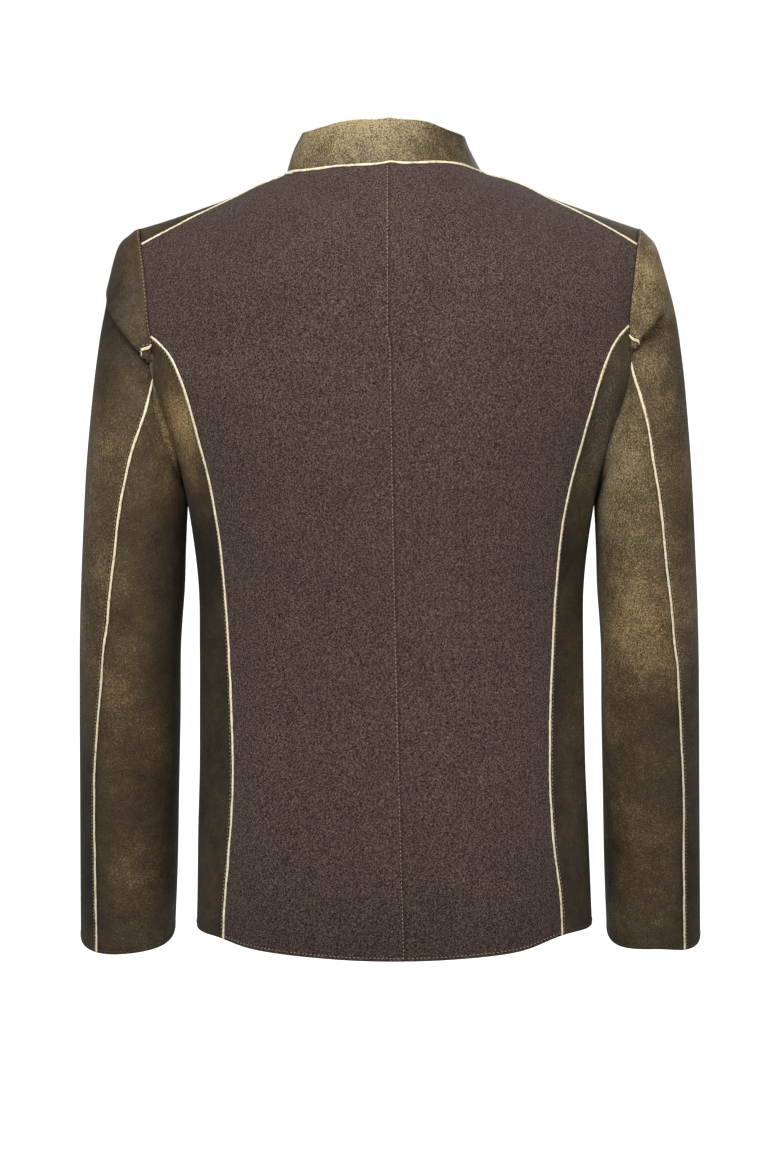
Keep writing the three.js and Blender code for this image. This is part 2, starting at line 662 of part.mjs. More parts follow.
// A raw-edged strip that lies along a line of spots, a little above them.
function welt(name, spots, lift = WELT_LIFT) {
  const positions = spots.flatMap(({ p, n }, k) => {
    const before = spots[Math.max(0, k - 1)].p;
    const along = spots[Math.min(spots.length - 1, k + 1)].p.clone().sub(before);
    const across = along.cross(n).setLength(WELT_WIDTH / 2);
    return [
      [1, lift],
      [WELT_TAPER, lift + WELT_HEIGHT],
      [-WELT_TAPER, lift + WELT_HEIGHT],
      [-1, lift],
    ].map(([side, height]) =>
      p.clone().addScaledVector(across, side).addScaledVector(n, height).toArray(),
    );
  });
  const triangles = [
    [0, 1, 2],
    [0, 2, 3],
  ];
  for (let k = 0; k < spots.length - 1; k++)
    for (let corner = 0; corner < 4; corner++) {
      const next = (corner + 1) % 4;
      const [a, b] = [4 * k + corner, 4 * k + next];
      triangles.push([a, a + 4, b + 4], [a, b + 4, b]);
    }
  const end = 4 * (spots.length - 1);
  triangles.push([end, end + 2, end + 1], [end, end + 3, end + 2]);
  return solid(name, RAW_EDGE, positions, facingOut(positions, triangles));
}

// A button with a raised rim, lying on a spot of the front.
function button(name, { p, n }) {
  const profile = BUTTON_PROFILE.map(({ radius, height }) => new THREE.Vector2(radius, height));
  const mesh = new THREE.Mesh(
    new THREE.LatheGeometry(profile, BUTTON_SIDES),
    new THREE.MeshStandardMaterial(HORN),
  );
  mesh.name = name;
  mesh.quaternion.setFromUnitVectors(new THREE.Vector3(0, 1, 0), n);
  mesh.position.copy(p).addScaledVector(n, BUTTON_LIFT);
  return mesh;
}

// The jacket

const jacket = new THREE.Group();
const SIDES = { left: 1, right: -1 };
const backs = {};
const fronts = {};
for (const [name, side] of Object.entries(SIDES)) {
  backs[name] = backGrid(side);
  fronts[name] = frontGrid(side);
}
const sides = { left: sideGrid(1), right: sideGrid(-1) };
const loop = armholeLoop(backs.left, sides.left, fronts.left);
const sleeve = sleeveGrid(loop);
const sleeves = { left: sleeve, right: mirrored(sleeve) };

const columnsBetween = (rows, first, last) =>
  rows.map((row) =>
    Array.from({ length: last - first + 1 }, (_, k) => row[(first + k) % row.length]),
  );

for (const name of Object.keys(SIDES)) {
  jacket.add(clothPanel(`back_${name}`, WOOL, backs[name], WOOL_WALL));
  jacket.add(clothPanel(`side_${name}`, LEATHER, sides[name], LEATHER_WALL));
  jacket.add(clothPanel(`front_${name}`, LEATHER, fronts[name], LEATHER_WALL));
  const { seamBack, seamFront, points } = loop;
  const under = columnsBetween(sleeves[name], seamBack, seamFront);
  const top = columnsBetween(sleeves[name], seamFront, points.length + seamBack);
  jacket.add(clothPanel(`sleeve_under_${name}`, LEATHER, under, LEATHER_WALL));
  jacket.add(clothPanel(`sleeve_top_${name}`, LEATHER, top, LEATHER_WALL));

  const princess = backs[name].slice(0, BODY_ROWS + 1).map((row) => row.at(-1));
  const shoulder = backs[name].at(-1).slice(BACK_NECK_COLUMNS);
  const sleeveSeam = sleeves[name].map((row) => row[seamBack]);
  jacket.add(welt(`welt_back_${name}`, shortened(princess, 1, 2.5)));
  jacket.add(welt(`welt_shoulder_${name}`, shortened(shoulder, 4, 1)));
  jacket.add(welt(`welt_sleeve_${name}`, shortened(sleeveSeam, 2, 1), SLEEVE_WELT_LIFT));
}

const collar = collarGrid(neckLine(backs, fronts));
jacket.add(clothPanel("collar", COLLAR_LEATHER, collar, LEATHER_WALL));

// The collar's welt lies on the collar, just above the seam.
const collarWelt = collar[0].map(({ p, n }, k) => {
  const up = collar[1][k].p.clone().sub(p).setLength(WELT_WIDTH / 2 + COLLAR_WELT_GAP);
  return { p: p.clone().add(up), n };
});
jacket.add(welt("welt_collar", shortened(collarWelt, 1, UNDER_LAP_CLEAR)));

for (let k = 0; k < BUTTON_COUNT; k++) {
  const z = BUTTON_TOP_Z - k * BUTTON_PITCH;
  const spot =
    z < CHEST_Z ? bodySpot(1, frontAngle(0, z), z) : yokeSpot(1, 0, TOP_BUTTON_TURN);
  jacket.add(button(`button_${k + 1}`, spot));
}

export default jacket;
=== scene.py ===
"""A leather jacket with a stand collar and a wool back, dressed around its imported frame."""

import math

import bmesh
import bpy
import numpy as np
from bpy.props import FloatProperty, FloatVectorProperty, PointerProperty
from bpy.types import Operator, Panel, PropertyGroup
from mathutils import Matrix, Vector


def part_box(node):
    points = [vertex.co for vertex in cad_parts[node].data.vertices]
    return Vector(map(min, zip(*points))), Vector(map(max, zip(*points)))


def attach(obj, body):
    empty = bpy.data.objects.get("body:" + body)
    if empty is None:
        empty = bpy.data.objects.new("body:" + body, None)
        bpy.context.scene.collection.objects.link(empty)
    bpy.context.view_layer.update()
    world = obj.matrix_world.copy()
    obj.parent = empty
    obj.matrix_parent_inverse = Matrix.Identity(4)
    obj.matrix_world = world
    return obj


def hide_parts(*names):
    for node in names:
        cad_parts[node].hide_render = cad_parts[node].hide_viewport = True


bl_info = {
    "name": "Leather jacket with a wool back",
    "version": (1, 0, 0),
    "blender": (4, 5, 0),
    "location": "3D View > Sidebar > Jacket",
    "description": "Cuts, sews and finishes a worn leather and wool jacket",
    "category": "Add Mesh",
}

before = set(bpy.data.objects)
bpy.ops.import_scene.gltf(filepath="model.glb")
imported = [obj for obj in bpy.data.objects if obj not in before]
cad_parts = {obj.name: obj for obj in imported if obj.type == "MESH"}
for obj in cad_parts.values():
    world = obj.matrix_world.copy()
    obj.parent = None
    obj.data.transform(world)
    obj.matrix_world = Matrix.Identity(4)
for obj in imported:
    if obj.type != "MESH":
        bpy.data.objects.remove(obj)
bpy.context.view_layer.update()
ROOT = "root"
MM = 0.001
SIDES = {"left": 1, "right": -1}


# Reading short tables


def table(columns, rows):
    """A table as one array for each named column."""
    values = np.array(rows, float)
    return {name: values[:, k] for k, name in enumerate(columns.split())}


def each_row(rows):
    """Goes through a table row by row, each as a dictionary."""
    for values in zip(*rows.values()):
        yield dict(zip(rows, values))


def read(rows, key, column, at):
    """Reads a column at places between the rows, along a smooth curve through them."""
    keys, values = rows[key], rows[column]
    at = np.asarray(at, float)
    i = np.clip(np.searchsorted(keys, at) - 1, 0, len(keys) - 2)
    before = np.maximum(np.arange(len(keys)) - 1, 0)
    after = np.minimum(np.arange(len(keys)) + 1, len(keys) - 1)
    slopes = (values[after] - values[before]) / (keys[after] - keys[before])
    width = keys[i + 1] - keys[i]
    t = np.clip((at - keys[i]) / width, 0, 1)
    ends = values[i] * (1 + 2 * t) * (1 - t) ** 2 + values[i + 1] * (3 - 2 * t) * t**2
    return ends + width * (slopes[i] * t * (1 - t) ** 2 - slopes[i + 1] * t**2 * (1 - t))


def mix(a, b, share):
    return a + (b - a) * share


def smooth(value):
    t = np.clip(value, 0, 1)
    return t * t * (3 - 2 * t)


def solve(rising, low, high):
    """Where a rising function passes zero, for each pair of bounds."""
    low, high = (np.array(v, float) for v in np.broadcast_arrays(low, high))
    for _ in range(40):
        middle = (low + high) / 2
        under = rising(middle) < 0
        low, high = np.where(under, middle, low), np.where(under, high, middle)
    return (low + high) / 2


def squared(angle, power):
    """Radius of a squared unit circle at an angle."""
    return (np.abs(np.cos(angle)) ** power + np.abs(np.sin(angle)) ** power) ** (-1 / power)


# Driving sizes of the cut, in millimetres and degrees. They are the frame's, apart from the gap
# of the armhole seam and a few millimetres under the arm, where the sleeves hug the body.

HEM_SIDE_Z = -682
HEM_CENTRE_Z = -690
CHEST_Z = -132
SIDE_Y = -5
SECTION_POWER = 2.5
ARMHOLE_BASE_X = 216.5
ARMHOLE_DROP = 130
ARMHOLE_POWER = 2.5
SHOULDER_SPREAD = 0.0514
FRONT_SEAM_TOP_Z = -232
FRONT_SEAM_DEPTH = 64
FRONT_OVERLAP = 18
UNDERLAP_DEPTH = 2.6
NECK = {"x": 5.3, "y": -8.5, "half_width": 88.6, "half_depth": 67}
COLLAR_TOP = {"x": 6, "y": -8.5, "half_width": 74.5, "half_depth": 55.5}
COLLAR_HEIGHT = 38
COLLAR_HEIGHT_SPREAD = 2
COLLAR_FLARE = 2.5
COLLAR_END_X = 4
SLEEVE_POWER = 2.2
CUFF_TILT = 0.24
CUFF_TILT_FROM = 9
SLEEVE_GAP = 0.35
CENTRE_SEAM_TOP_X = 1.3
CENTRE_SEAM_HEM_X = -10
BUTTON_TOP_Z = -88
BUTTON_PITCH = 92
TOP_BUTTON_TURN = 160
BUTTON_COUNT = 6

BODY = table(
    "z half back front sway seam",
    [
        (-700, 186, 129, 120, -3.5, 155),
        (-651, 184, 127.5, 119.5, -3, 153),
        (-594, 182, 122.5, 118, -2.2, 147),
        (-536, 179.5, 114.5, 115, -1.6, 143),
        (-479, 178.3, 107, 112, -1, 143.3),
        (-422, 177.5, 103.5, 111, -0.6, 145.3),
        (-365, 177.7, 105, 113.5, -0.3, 148),
        (-308, 183.8, 111.3, 116, 0, 153),
        (-262, 192.5, 117, 118, 0, 160.5),
        (-230, 205, 120, 117.5, 0, 168),
        (-194, 224, 121.3, 115.5, 0, 177.5),
        (-166, 237, 120.8, 112.5, 0, 187.5),
        (-146, 239, 119.6, 110, 0, 199),
        (CHEST_Z, 238.5, 119, 108, 0, ARMHOLE_BASE_X),
    ],
)
RIDGE = table(
    "x back front",
    [
        (0, 49, 2),
        (45, 38, 7),
        (94, 10, 10),
        (120, 0.5, 0.5),
        (143, -10, -10),
        (173, -21, -21),
        (205, -32, -32),
        (232, -40, -40),
    ],
)
SLEEVE = table(
    "ring out_x out_z in_x in_z y depth armhole",
    [
        (0, 227, -39, 190, -262, -2, 62, 1),
        (1, 238, -43.5, 191, -266, -2, 63, 0.72),
        (2, 248, -56, 191.2, -271, -2, 64.5, 0.45),
        (3, 256.5, -87, 189.4, -279, -2, 66, 0.22),
        (4, 263.5, -127, 187.3, -291, -2, 67, 0.07),
        (5, 271, -189, 188.2, -311, -2, 67, 0),
        (6, 277.5, -251, 189.5, -337, -3, 66, 0),
        (7, 282.5, -320, 190.9, -370, -5, 64, 0),
        (8, 287.5, -400, 195.2, -424, -10, 61.5, 0),
        (9, 290.5, -480, 197, -490, -20, 58.5, 0),
        (10, 293, -562, 200, -564, -34, 55, 0),
        (11, 295.5, -644, 203, -640, -49, 52, 0),
        (12, 297.5, -712, 207, -704, -62, 49.5, 0),
    ],
)
SLEEVE_SEAMS = table(
    "ring left right front",
    [
        (0, 86, 86, 227),
        (1, 81, 81, 227),
        (1.5, 92, 90, 227),
        (2, 106, 97, 227),
        (3, 100, 91, 227),
        (4, 92.4, 85.6, 228),
        (5, 83, 81.6, 230),
        (6, 76.8, 77.5, 231),
        (7, 72.8, 74.1, 232),
        (8, 66.8, 68.2, 232),
        (9, 58.6, 60.6, 232),
        (10, 51.8, 56, 232),
        (11, 53.8, 56, 232),
        (12, 56, 56, 232),
    ],
)
# How far up the armhole, in stations, each sleeve's back seam meets it
SEAM_RISE = {"left": 0.62, "right": 0.62}

# The armhole's line is counted in stations: five down the back, then round under the arm by
# these turns, then up the front to the tip of the shoulder.
BACK_STATIONS = 5
UNDER_TURNS = [0, 8, 24, 42, 60, 78, 96, 114]
FRONT_LOW_STATIONS = 3
FRONT_HIGH_STATIONS = 8
SEAM_BACK = BACK_STATIONS + 1
SEAM_FRONT = BACK_STATIONS + len(UNDER_TURNS)
STATIONS = SEAM_FRONT + FRONT_LOW_STATIONS + FRONT_HIGH_STATIONS


# The body's form below chest level


def section(z, column):
    return read(BODY, "z", column, z)


def section_depth(x, z, column):
    share = np.minimum(1, np.abs(x) / section(z, "half"))
    return section(z, column) * (1 - share**SECTION_POWER) ** (1 / SECTION_POWER)


def back_angle(x, z):
    return np.degrees(np.arctan2(section_depth(x, z, "back"), x))


def front_angle(x, z):
    return np.degrees(np.arctan2(-section_depth(x, z, "front"), x))


def side_angle(y, z):
    depth = np.where(np.asarray(y) > 0, section(z, "back"), section(z, "front"))
    share = np.abs(y) / depth
    x = section(z, "half") * (1 - share**SECTION_POWER) ** (1 / SECTION_POWER)
    return np.degrees(np.arctan2(y, x))


def body_point(angle, z, side):
    """A point of the body at an angle from the side, towards the back."""
    angle, z = np.broadcast_arrays(np.asarray(angle, float), np.asarray(z, float))
    a = np.radians(angle)
    depth = np.where(angle > 0, section(z, "back"), section(z, "front"))
    across = np.abs(np.cos(a)) / section(z, "half")
    along = np.abs(np.sin(a)) / depth
    r = (across**SECTION_POWER + along**SECTION_POWER) ** (-1 / SECTION_POWER)
    x = side * r * np.cos(a) + section(z, "sway")
    return np.stack([x, SIDE_Y + r * np.sin(a), z], axis=-1)


# The yoke above chest level


def yoke_point(base_x, turn, side):
    """A point of the yoke: turn goes from 0 at the back over the ridge to 180 at the front."""
    base_x, turn = np.broadcast_arrays(np.asarray(base_x, float), np.asarray(turn, float))
    t = np.radians(turn)
    behind = turn <= 90
    x = base_x * (1 + SHOULDER_SPREAD * np.sin(t) ** 2)
    power = np.where(behind, 2, 1.4 + 0.6 * np.minimum(1, (base_x / 200) ** 2))
    r = squared(t, power)
    ridges = [read(RIDGE, "x", column, np.abs(x)) for column in ("back", "front")]
    depths = [section_depth(base_x, CHEST_Z, column) for column in ("back", "front")]
    y = SIDE_Y + np.where(behind, *depths) * r * np.cos(t)
    z = CHEST_Z + (np.where(behind, *ridges) - CHEST_Z) * r * np.sin(t)
    return np.stack([side * x, y, z], axis=-1)


def shoulder_turn(base_x):
    outwards = (base_x - NECK["half_width"]) / (ARMHOLE_BASE_X - NECK["half_width"])
    return 89 - 31 * np.maximum(0, outwards) ** 1.4


def outside_neck(point):
    across = (point[..., 0] - NECK["x"]) / NECK["half_width"]
    return across**2 + ((point[..., 1] - NECK["y"]) / NECK["half_depth"]) ** 2 - 1


def neck_point_x(side):
    def outside(x):
        return outside_neck(yoke_point(x, shoulder_turn(x), side))

    return float(solve(outside, 55, 130))


def end_turn(side, base_x, behind):
    """The turn at which each column of the yoke ends: at the neck or the shoulder seam."""
    low, high, sign = (0, 89, -1) if behind else (89, 180, 1)

    def rising(turn):
        return sign * outside_neck(yoke_point(base_x, turn, side))

    at_neck = solve(rising, np.full_like(base_x, low), high)
    return np.where(base_x >= neck_point_x(side) - 0.01, shoulder_turn(base_x), at_neck)


# Seams of the body


def hem_z(angle):
    return mix(HEM_SIDE_Z, HEM_CENTRE_Z, np.sin(np.radians(angle)) ** 2)


def centre_seam_x(z):
    return mix(CENTRE_SEAM_TOP_X, CENTRE_SEAM_HEM_X, np.clip(z / HEM_CENTRE_Z, 0, 1))


def princess_angle(z):
    return back_angle(section(z, "seam"), z)


def armhole_low(turn):
    """The lower half of the armhole, from the back of chest level round to the front."""
    t = np.radians(np.asarray(turn, float))
    r = squared(t, ARMHOLE_POWER)
    widths = [section_depth(ARMHOLE_BASE_X, CHEST_Z, column) for column in ("back", "front")]
    z = CHEST_Z - ARMHOLE_DROP * r * np.sin(t)
    return side_angle(np.where(t < math.pi / 2, *widths) * r * np.cos(t), z), z


FRONT_SEAM_TURN = float(solve(lambda t: armhole_low(t)[1] - FRONT_SEAM_TOP_Z, 95, 180))


def front_seam_angle(z):
    top = armhole_low(FRONT_SEAM_TURN)[0]
    return mix(top, side_angle(-FRONT_SEAM_DEPTH, z), smooth((FRONT_SEAM_TOP_Z - z) / 160))


# Grids of points over each piece, rows going up from the hem

# About how long each stretch is, in millimetres, to count its cells
BACK_YOKE = 190
FRONT_YOKE = 200
FRONT_ARMHOLE = 110
UNDER_ARM = 150
COLLAR_STAND = 42
STATION = 16
BODY_MIDDLE = (0, SIDE_Y, -200)


def steps(start, end, cell):
    """Even steps from start to end, at most a cell apart."""
    count = max(2, math.ceil(abs(end - start) / cell))
    return np.linspace(start, end, count + 1)


def fine_ends(values):
    """Adds two places close to each end, where the cloth turns into its seam."""
    first, last = values[1] - values[0], values[-1] - values[-2]
    head = values[0] + first * np.array([0, 0.2, 0.5])
    tail = values[-1] - last * np.array([0.5, 0.2, 0])
    return np.concatenate([head, values[1:-1], tail])


def back_points(side, cell):
    neck_x = neck_point_x(side)
    x = np.concatenate(
        [
            steps(side * centre_seam_x(0), neck_x, cell)[:-1],
            steps(neck_x, ARMHOLE_BASE_X, cell),
        ]
    )
    x = fine_ends(x)
    turned = back_angle(x, CHEST_Z)
    shares = (turned - turned[0]) / (turned[-1] - turned[0])
    level = fine_ends(steps(0, CHEST_Z - HEM_CENTRE_Z, cell))[:, None] / (CHEST_Z - HEM_CENTRE_Z)

    def angle_at(z):
        return mix(back_angle(side * centre_seam_x(z), z), princess_angle(z), shares)

    z = mix(hem_z(angle_at(mix(HEM_CENTRE_Z, CHEST_Z, level))), CHEST_Z, level)
    arch = np.linspace(0, 1, math.ceil(BACK_YOKE / cell))[1:, None]
    return np.concatenate(
        [body_point(angle_at(z), z, side), yoke_point(x, end_turn(side, x, True) * arch, side)]
    )


def front_points(side, cell):
    neck_x = neck_point_x(side)
    x = np.concatenate(
        [
            steps(-FRONT_OVERLAP, COLLAR_END_X, cell)[:-1],
            steps(COLLAR_END_X, neck_x, cell)[:-1],
            steps(neck_x, ARMHOLE_BASE_X, cell),
        ]
    )
    x = fine_ends(x)
    turned = front_angle(x, CHEST_Z)
    shares = (turned - turned[0]) / (turned[-1] - turned[0])

    def spread(z, outer):
        return mix(front_angle(-FRONT_OVERLAP, z), outer, shares)

    height = FRONT_SEAM_TOP_Z - HEM_CENTRE_Z
    level = fine_ends(steps(0, height, cell))[:, None] / height
    rough = mix(HEM_CENTRE_Z, FRONT_SEAM_TOP_Z, level)
    z = mix(hem_z(spread(rough, front_seam_angle(rough))), FRONT_SEAM_TOP_Z, level)
    low = body_point(spread(z, front_seam_angle(z)), z, side)
    turn = np.linspace(FRONT_SEAM_TURN, 180, math.ceil(FRONT_ARMHOLE / cell))[1:, None]
    outer, edge_z = armhole_low(turn)
    middle = body_point(spread(edge_z, outer), edge_z + 0 * shares, side)
    arch = np.linspace(0, 1, math.ceil(FRONT_YOKE / cell))[1:, None]
    high = yoke_point(x, mix(180, end_turn(side, x, False), arch), side)
    points = np.concatenate([low, middle, high])
    if side > 0:
        return points
    sunk = smooth((points[..., 0] + 2.4 * FRONT_OVERLAP) / FRONT_OVERLAP) * (
        points[..., 1] < SIDE_Y
    )
    return points - directions(points, BODY_MIDDLE) * (UNDERLAP_DEPTH * sunk)[..., None]


def side_points(side, cell):
    """The side panel fills the outline between its two seams, the hem and the armhole."""
    turn = np.interp(
        fine_ends(np.linspace(0, len(UNDER_TURNS), math.ceil(UNDER_ARM / cell))),
        np.arange(len(UNDER_TURNS) + 1),
        [*UNDER_TURNS, FRONT_SEAM_TURN],
    )
    across = np.interp(turn, [*UNDER_TURNS, FRONT_SEAM_TURN], np.linspace(0, 1, 9))
    height = CHEST_Z - HEM_SIDE_Z
    up = fine_ends(steps(0, height, cell))[:, None] / height
    edges = []
    for seam, high_z in ((princess_angle, CHEST_Z), (front_seam_angle, FRONT_SEAM_TOP_Z)):
        z = mix(hem_z(seam(mix(HEM_SIDE_Z, high_z, up))), high_z, up)
        edges.append((seam(z), z))
    hem_angle = mix(princess_angle(HEM_SIDE_Z), front_seam_angle(HEM_SIDE_Z), across)
    hem = (hem_angle, hem_z(hem_angle))
    top = armhole_low(turn)
    angle, z = (
        mix(edges[0][k], edges[1][k], across)
        + mix(hem[k], top[k], up)
        - mix(mix(hem[k][0], hem[k][-1], across), mix(top[k][0], top[k][-1], across), up)
        for k in (0, 1)
    )
    return body_point(angle, z, side)


def neck_line(cell):
    """The neck's edge, from the left front round the back to the right front."""
    halves = {}
    for name, side in SIDES.items():
        front, back = front_points(side, cell)[-1], back_points(side, cell)[-1]
        starts = int(np.argmin(np.abs(side * front[:, 0] - COLLAR_END_X)))
        inside = np.abs(outside_neck(front)) < 1e-3
        front = front[starts:][inside[starts:]]
        back = back[np.abs(outside_neck(back)) < 1e-3]
        halves[name] = np.concatenate([front, back[::-1][1:]])
    return np.concatenate([halves["left"], halves["right"][::-1][1:]])


def collar_points(cell):
    base = neck_line(cell)
    turn = np.arctan2(
        (base[:, 1] - NECK["y"]) / NECK["half_depth"],
        (base[:, 0] - NECK["x"]) / NECK["half_width"],
    )
    top = np.stack(
        [
            COLLAR_TOP["x"] + COLLAR_TOP["half_width"] * np.cos(turn),
            COLLAR_TOP["y"] + COLLAR_TOP["half_depth"] * np.sin(turn),
            base[:, 2] + COLLAR_HEIGHT + COLLAR_HEIGHT_SPREAD * np.sin(turn),
        ],
        axis=-1,
    )
    up = fine_ends(np.linspace(0, 1, math.ceil(COLLAR_STAND / cell)))[:, None, None]
    points = mix(base, top, up)
    hollow = COLLAR_FLARE * np.sin(math.pi * up[..., 0]) * (1 - up[..., 0])
    points[..., 0] -= hollow * np.cos(turn)
    points[..., 1] -= hollow * np.sin(turn)
    return points


# Sleeves

ARMHOLE_MIDDLE = (208, -2, -150)


def armhole_line(station):
    """Points of the left armhole at places counted in stations from the shoulder's tip."""
    station = np.asarray(station, float) % STATIONS
    end_back = end_turn(1, np.array([ARMHOLE_BASE_X]), True)[0]
    down = yoke_point(ARMHOLE_BASE_X, end_back * (1 - station / BACK_STATIONS), 1)
    places = np.arange(BACK_STATIONS, SEAM_FRONT + 1)
    turn = np.interp(station, places, [*UNDER_TURNS, FRONT_SEAM_TURN])
    rise = (station - SEAM_FRONT) / FRONT_LOW_STATIONS
    turn = np.where(rise > 0, mix(FRONT_SEAM_TURN, 180, np.minimum(1, rise)), turn)
    under = body_point(*armhole_low(turn), 1)
    over = (station - SEAM_FRONT - FRONT_LOW_STATIONS) / FRONT_HIGH_STATIONS
    up = yoke_point(ARMHOLE_BASE_X, mix(180, end_back, np.clip(over, 0, 1)), 1)
    points = np.where((station < BACK_STATIONS)[..., None], down, under)
    return np.where((over > 0)[..., None], up, points)


def armhole_edge(station):
    """The armhole's line moved off the body by the gap of the sleeve seam."""
    points = armhole_line(station)
    along = armhole_line(station + 0.05) - armhole_line(station - 0.05)
    outwards = points - np.array(BODY_MIDDLE)
    inward = np.array(ARMHOLE_MIDDLE) - points
    along /= np.linalg.norm(along, axis=-1, keepdims=True)
    # Out of the body's cloth: towards the armhole's middle, with no share along the seam
    away = inward - np.sum(inward * along, axis=-1, keepdims=True) * along
    away[..., 0] *= 0.2
    away /= np.linalg.norm(away, axis=-1, keepdims=True)
    outwards /= np.linalg.norm(outwards, axis=-1, keepdims=True)
    return points + SLEEVE_GAP * (away + outwards)


def ring_frame(ring):
    place = {name: read(SLEEVE, "ring", name, ring) for name in SLEEVE if name != "ring"}
    outer = np.stack([place["out_x"], place["y"], place["out_z"]], axis=-1)
    inner = np.stack([place["in_x"], place["y"], place["in_z"]], axis=-1)
    length = np.linalg.norm(outer - inner, axis=-1, keepdims=True)
    across = (outer - inner) / length
    down = np.stack([across[..., 2], 0 * across[..., 1], -across[..., 0]], axis=-1)
    return (outer + inner) / 2, length / 2, place["depth"][..., None], across, down, place


def sleeve_turn(station, ring, name):
    """Angle round the sleeve from its outer edge, in degrees, between its two seams."""
    back, front = (read(SLEEVE_SEAMS, "ring", column, ring) for column in (name, "front"))
    station = station % STATIONS
    under = mix(back, front, (station - SEAM_BACK) / (SEAM_FRONT - SEAM_BACK))
    past = (station - SEAM_FRONT) % STATIONS
    over = mix(front, 360 + back, past / (STATIONS - SEAM_FRONT + SEAM_BACK))
    return np.where((station >= SEAM_BACK) & (station <= SEAM_FRONT), under, over)


def plain_sleeve(station, ring, turn, name):
    """Points of a sleeve with no folds, built on the left, and the middle of each ring."""
    centre, half, depth, across, down, place = ring_frame(ring)
    top_centre, top_half, top_depth, top_across, top_down, _ = ring_frame(np.zeros(1))
    turn = np.radians(turn)
    r = squared(turn, SLEEVE_POWER)[..., None]
    behind = np.array([0.0, 1.0, 0.0])
    points = centre + across * half * r * np.cos(turn)[..., None]
    points = points + behind * depth * r * np.sin(turn)[..., None]
    keep = place["armhole"][..., None]
    from_seam = (station - SEAM_BACK + STATIONS / 2) % STATIONS - STATIONS / 2
    offset = armhole_edge(station - SEAM_RISE[name] * np.exp(-((from_seam / 1.5) ** 2)))
    offset = offset - top_centre
    up = np.sum(offset * top_across, axis=-1, keepdims=True)
    away = np.sum(offset * top_down, axis=-1, keepdims=True)
    kept = centre + across * up * half / top_half + down * away * keep
    kept = kept + behind * offset[..., 1:2] * depth / top_depth
    return mix(points, kept, np.clip(keep, 0, 1)), centre


def directions(points, middle):
    """Unit directions out of the cloth at each point of a grid."""
    out = np.cross(np.gradient(points, axis=1), np.gradient(points, axis=0))
    out /= np.maximum(np.linalg.norm(out, axis=-1, keepdims=True), 1e-9)
    facing = np.sum(out * (points - np.asarray(middle)), axis=-1).mean()
    return out if facing > 0 else -out


# The drag folds run from the outer arm down to the armpit, where the cap hangs over the sleeve.
# outer, inner: the ends of the visible edge in the back view, x and z, mirrored on the right.
# depth: share of the profile below. start, full, end: where along that edge, as a share of its
# length, the fold sets in, has its whole depth and has died out.
FOLDS = {
    "left": {
        "outer": (254, -108),
        "inner": (212, -168),
        "depth": 1.0,
        "start": -0.35,
        "full": 0.05,
        "end": 1.4,
    },
    "right": {
        "outer": (248, -118),
        "inner": (207, -168),
        "depth": 0.85,
        "start": -0.12,
        "full": 0.3,
        "end": 1.5,
    },
}
FOLD_FADE = 0.35
# The fold sets in over this share of the first ring, below the armhole seam
FOLD_RING = 0.3
FRONT_FOLD_SHARE = 0.45
# The painted shade of the crease: its place and half width, the width that a deep fold adds, and
# the softer painted shade below it as share, place and half width
CREASE_PLACE = 6.5
CREASE_WIDTH = 1.3
CREASE_DEEPER = 1.5
CREASE_SHADE = (0.3, 5, 7)
# Across a fold. cloth: place on the flat cloth, from the cap downwards; shift: how far that place
# slides down over or back under the sleeve; height: how far it stands out.
FOLD_PROFILE = table(
    "cloth shift height",
    [
        (-36, 0, 0),
        (-26, 1, 0.8),
        (-16, 3, 3.0),
        (-9.5, 5.3, 4.6),
        (-6.4, 5.5, 4.3),
        (-5, 5, 2.8),
        (-3.6, 2.7, 0.8),
        (-1, -3.8, -1.6),
        (1.6, -9, -3.6),
        (4.4, -8.8, -5.4),
        (9, -6.4, -5.6),
        (16, -4, -4.6),
        (28, -1.5, -2),
        (46, 0, 0),
    ],
)


def fold_shift(points, normals, turn, ring, name):
    """Moves the sleeve's points into its drag fold, and gives how much painted crease shade each
    gets.
    """
    fold = FOLDS[name]
    outer, inner = np.array(fold["outer"], float), np.array(fold["inner"], float)
    line = inner - outer
    length = np.linalg.norm(line)
    below = np.array([-line[1], line[0]]) / length
    offset = points[..., [0, 2]] - outer
    along = offset @ line / length**2
    fade = smooth((along - fold["start"]) / (fold["full"] - fold["start"]))
    fade = fade * smooth((fold["end"] - along) / FOLD_FADE)
    facing = np.sin(np.radians(turn))
    share = mix(FRONT_FOLD_SHARE, 1, smooth(facing + 0.6)) * smooth(ring / FOLD_RING)
    fade = (fade * share * fold["depth"])[..., None]
    cloth = offset @ below
    shift, height = (
        read(FOLD_PROFILE, "cloth", column, cloth)[..., None] for column in ("shift", "height")
    )
    slide = np.array([below[0], 0, below[1]])
    # It hardly shows in the outline
    inside = smooth(1.3 * np.abs(facing) - 0.2)
    height = height * mix(0.1, 1, inside)[..., None]
    shift = shift * mix(0.25, 1, inside)[..., None]
    # The painted crease shade lies where the cloth comes out from under the cap
    deep = fade[..., 0]
    past = cloth - CREASE_PLACE * deep
    shade, place, width = CREASE_SHADE
    crease_shade = np.exp(-((past / (CREASE_WIDTH + CREASE_DEEPER * deep)) ** 2))
    crease_shade = crease_shade + shade * np.exp(-(((past - place) / width) ** 2))
    crease_shade = np.minimum(1, crease_shade * smooth(3 * deep))
    return points + (normals * height + slide * shift) * fade, crease_shade
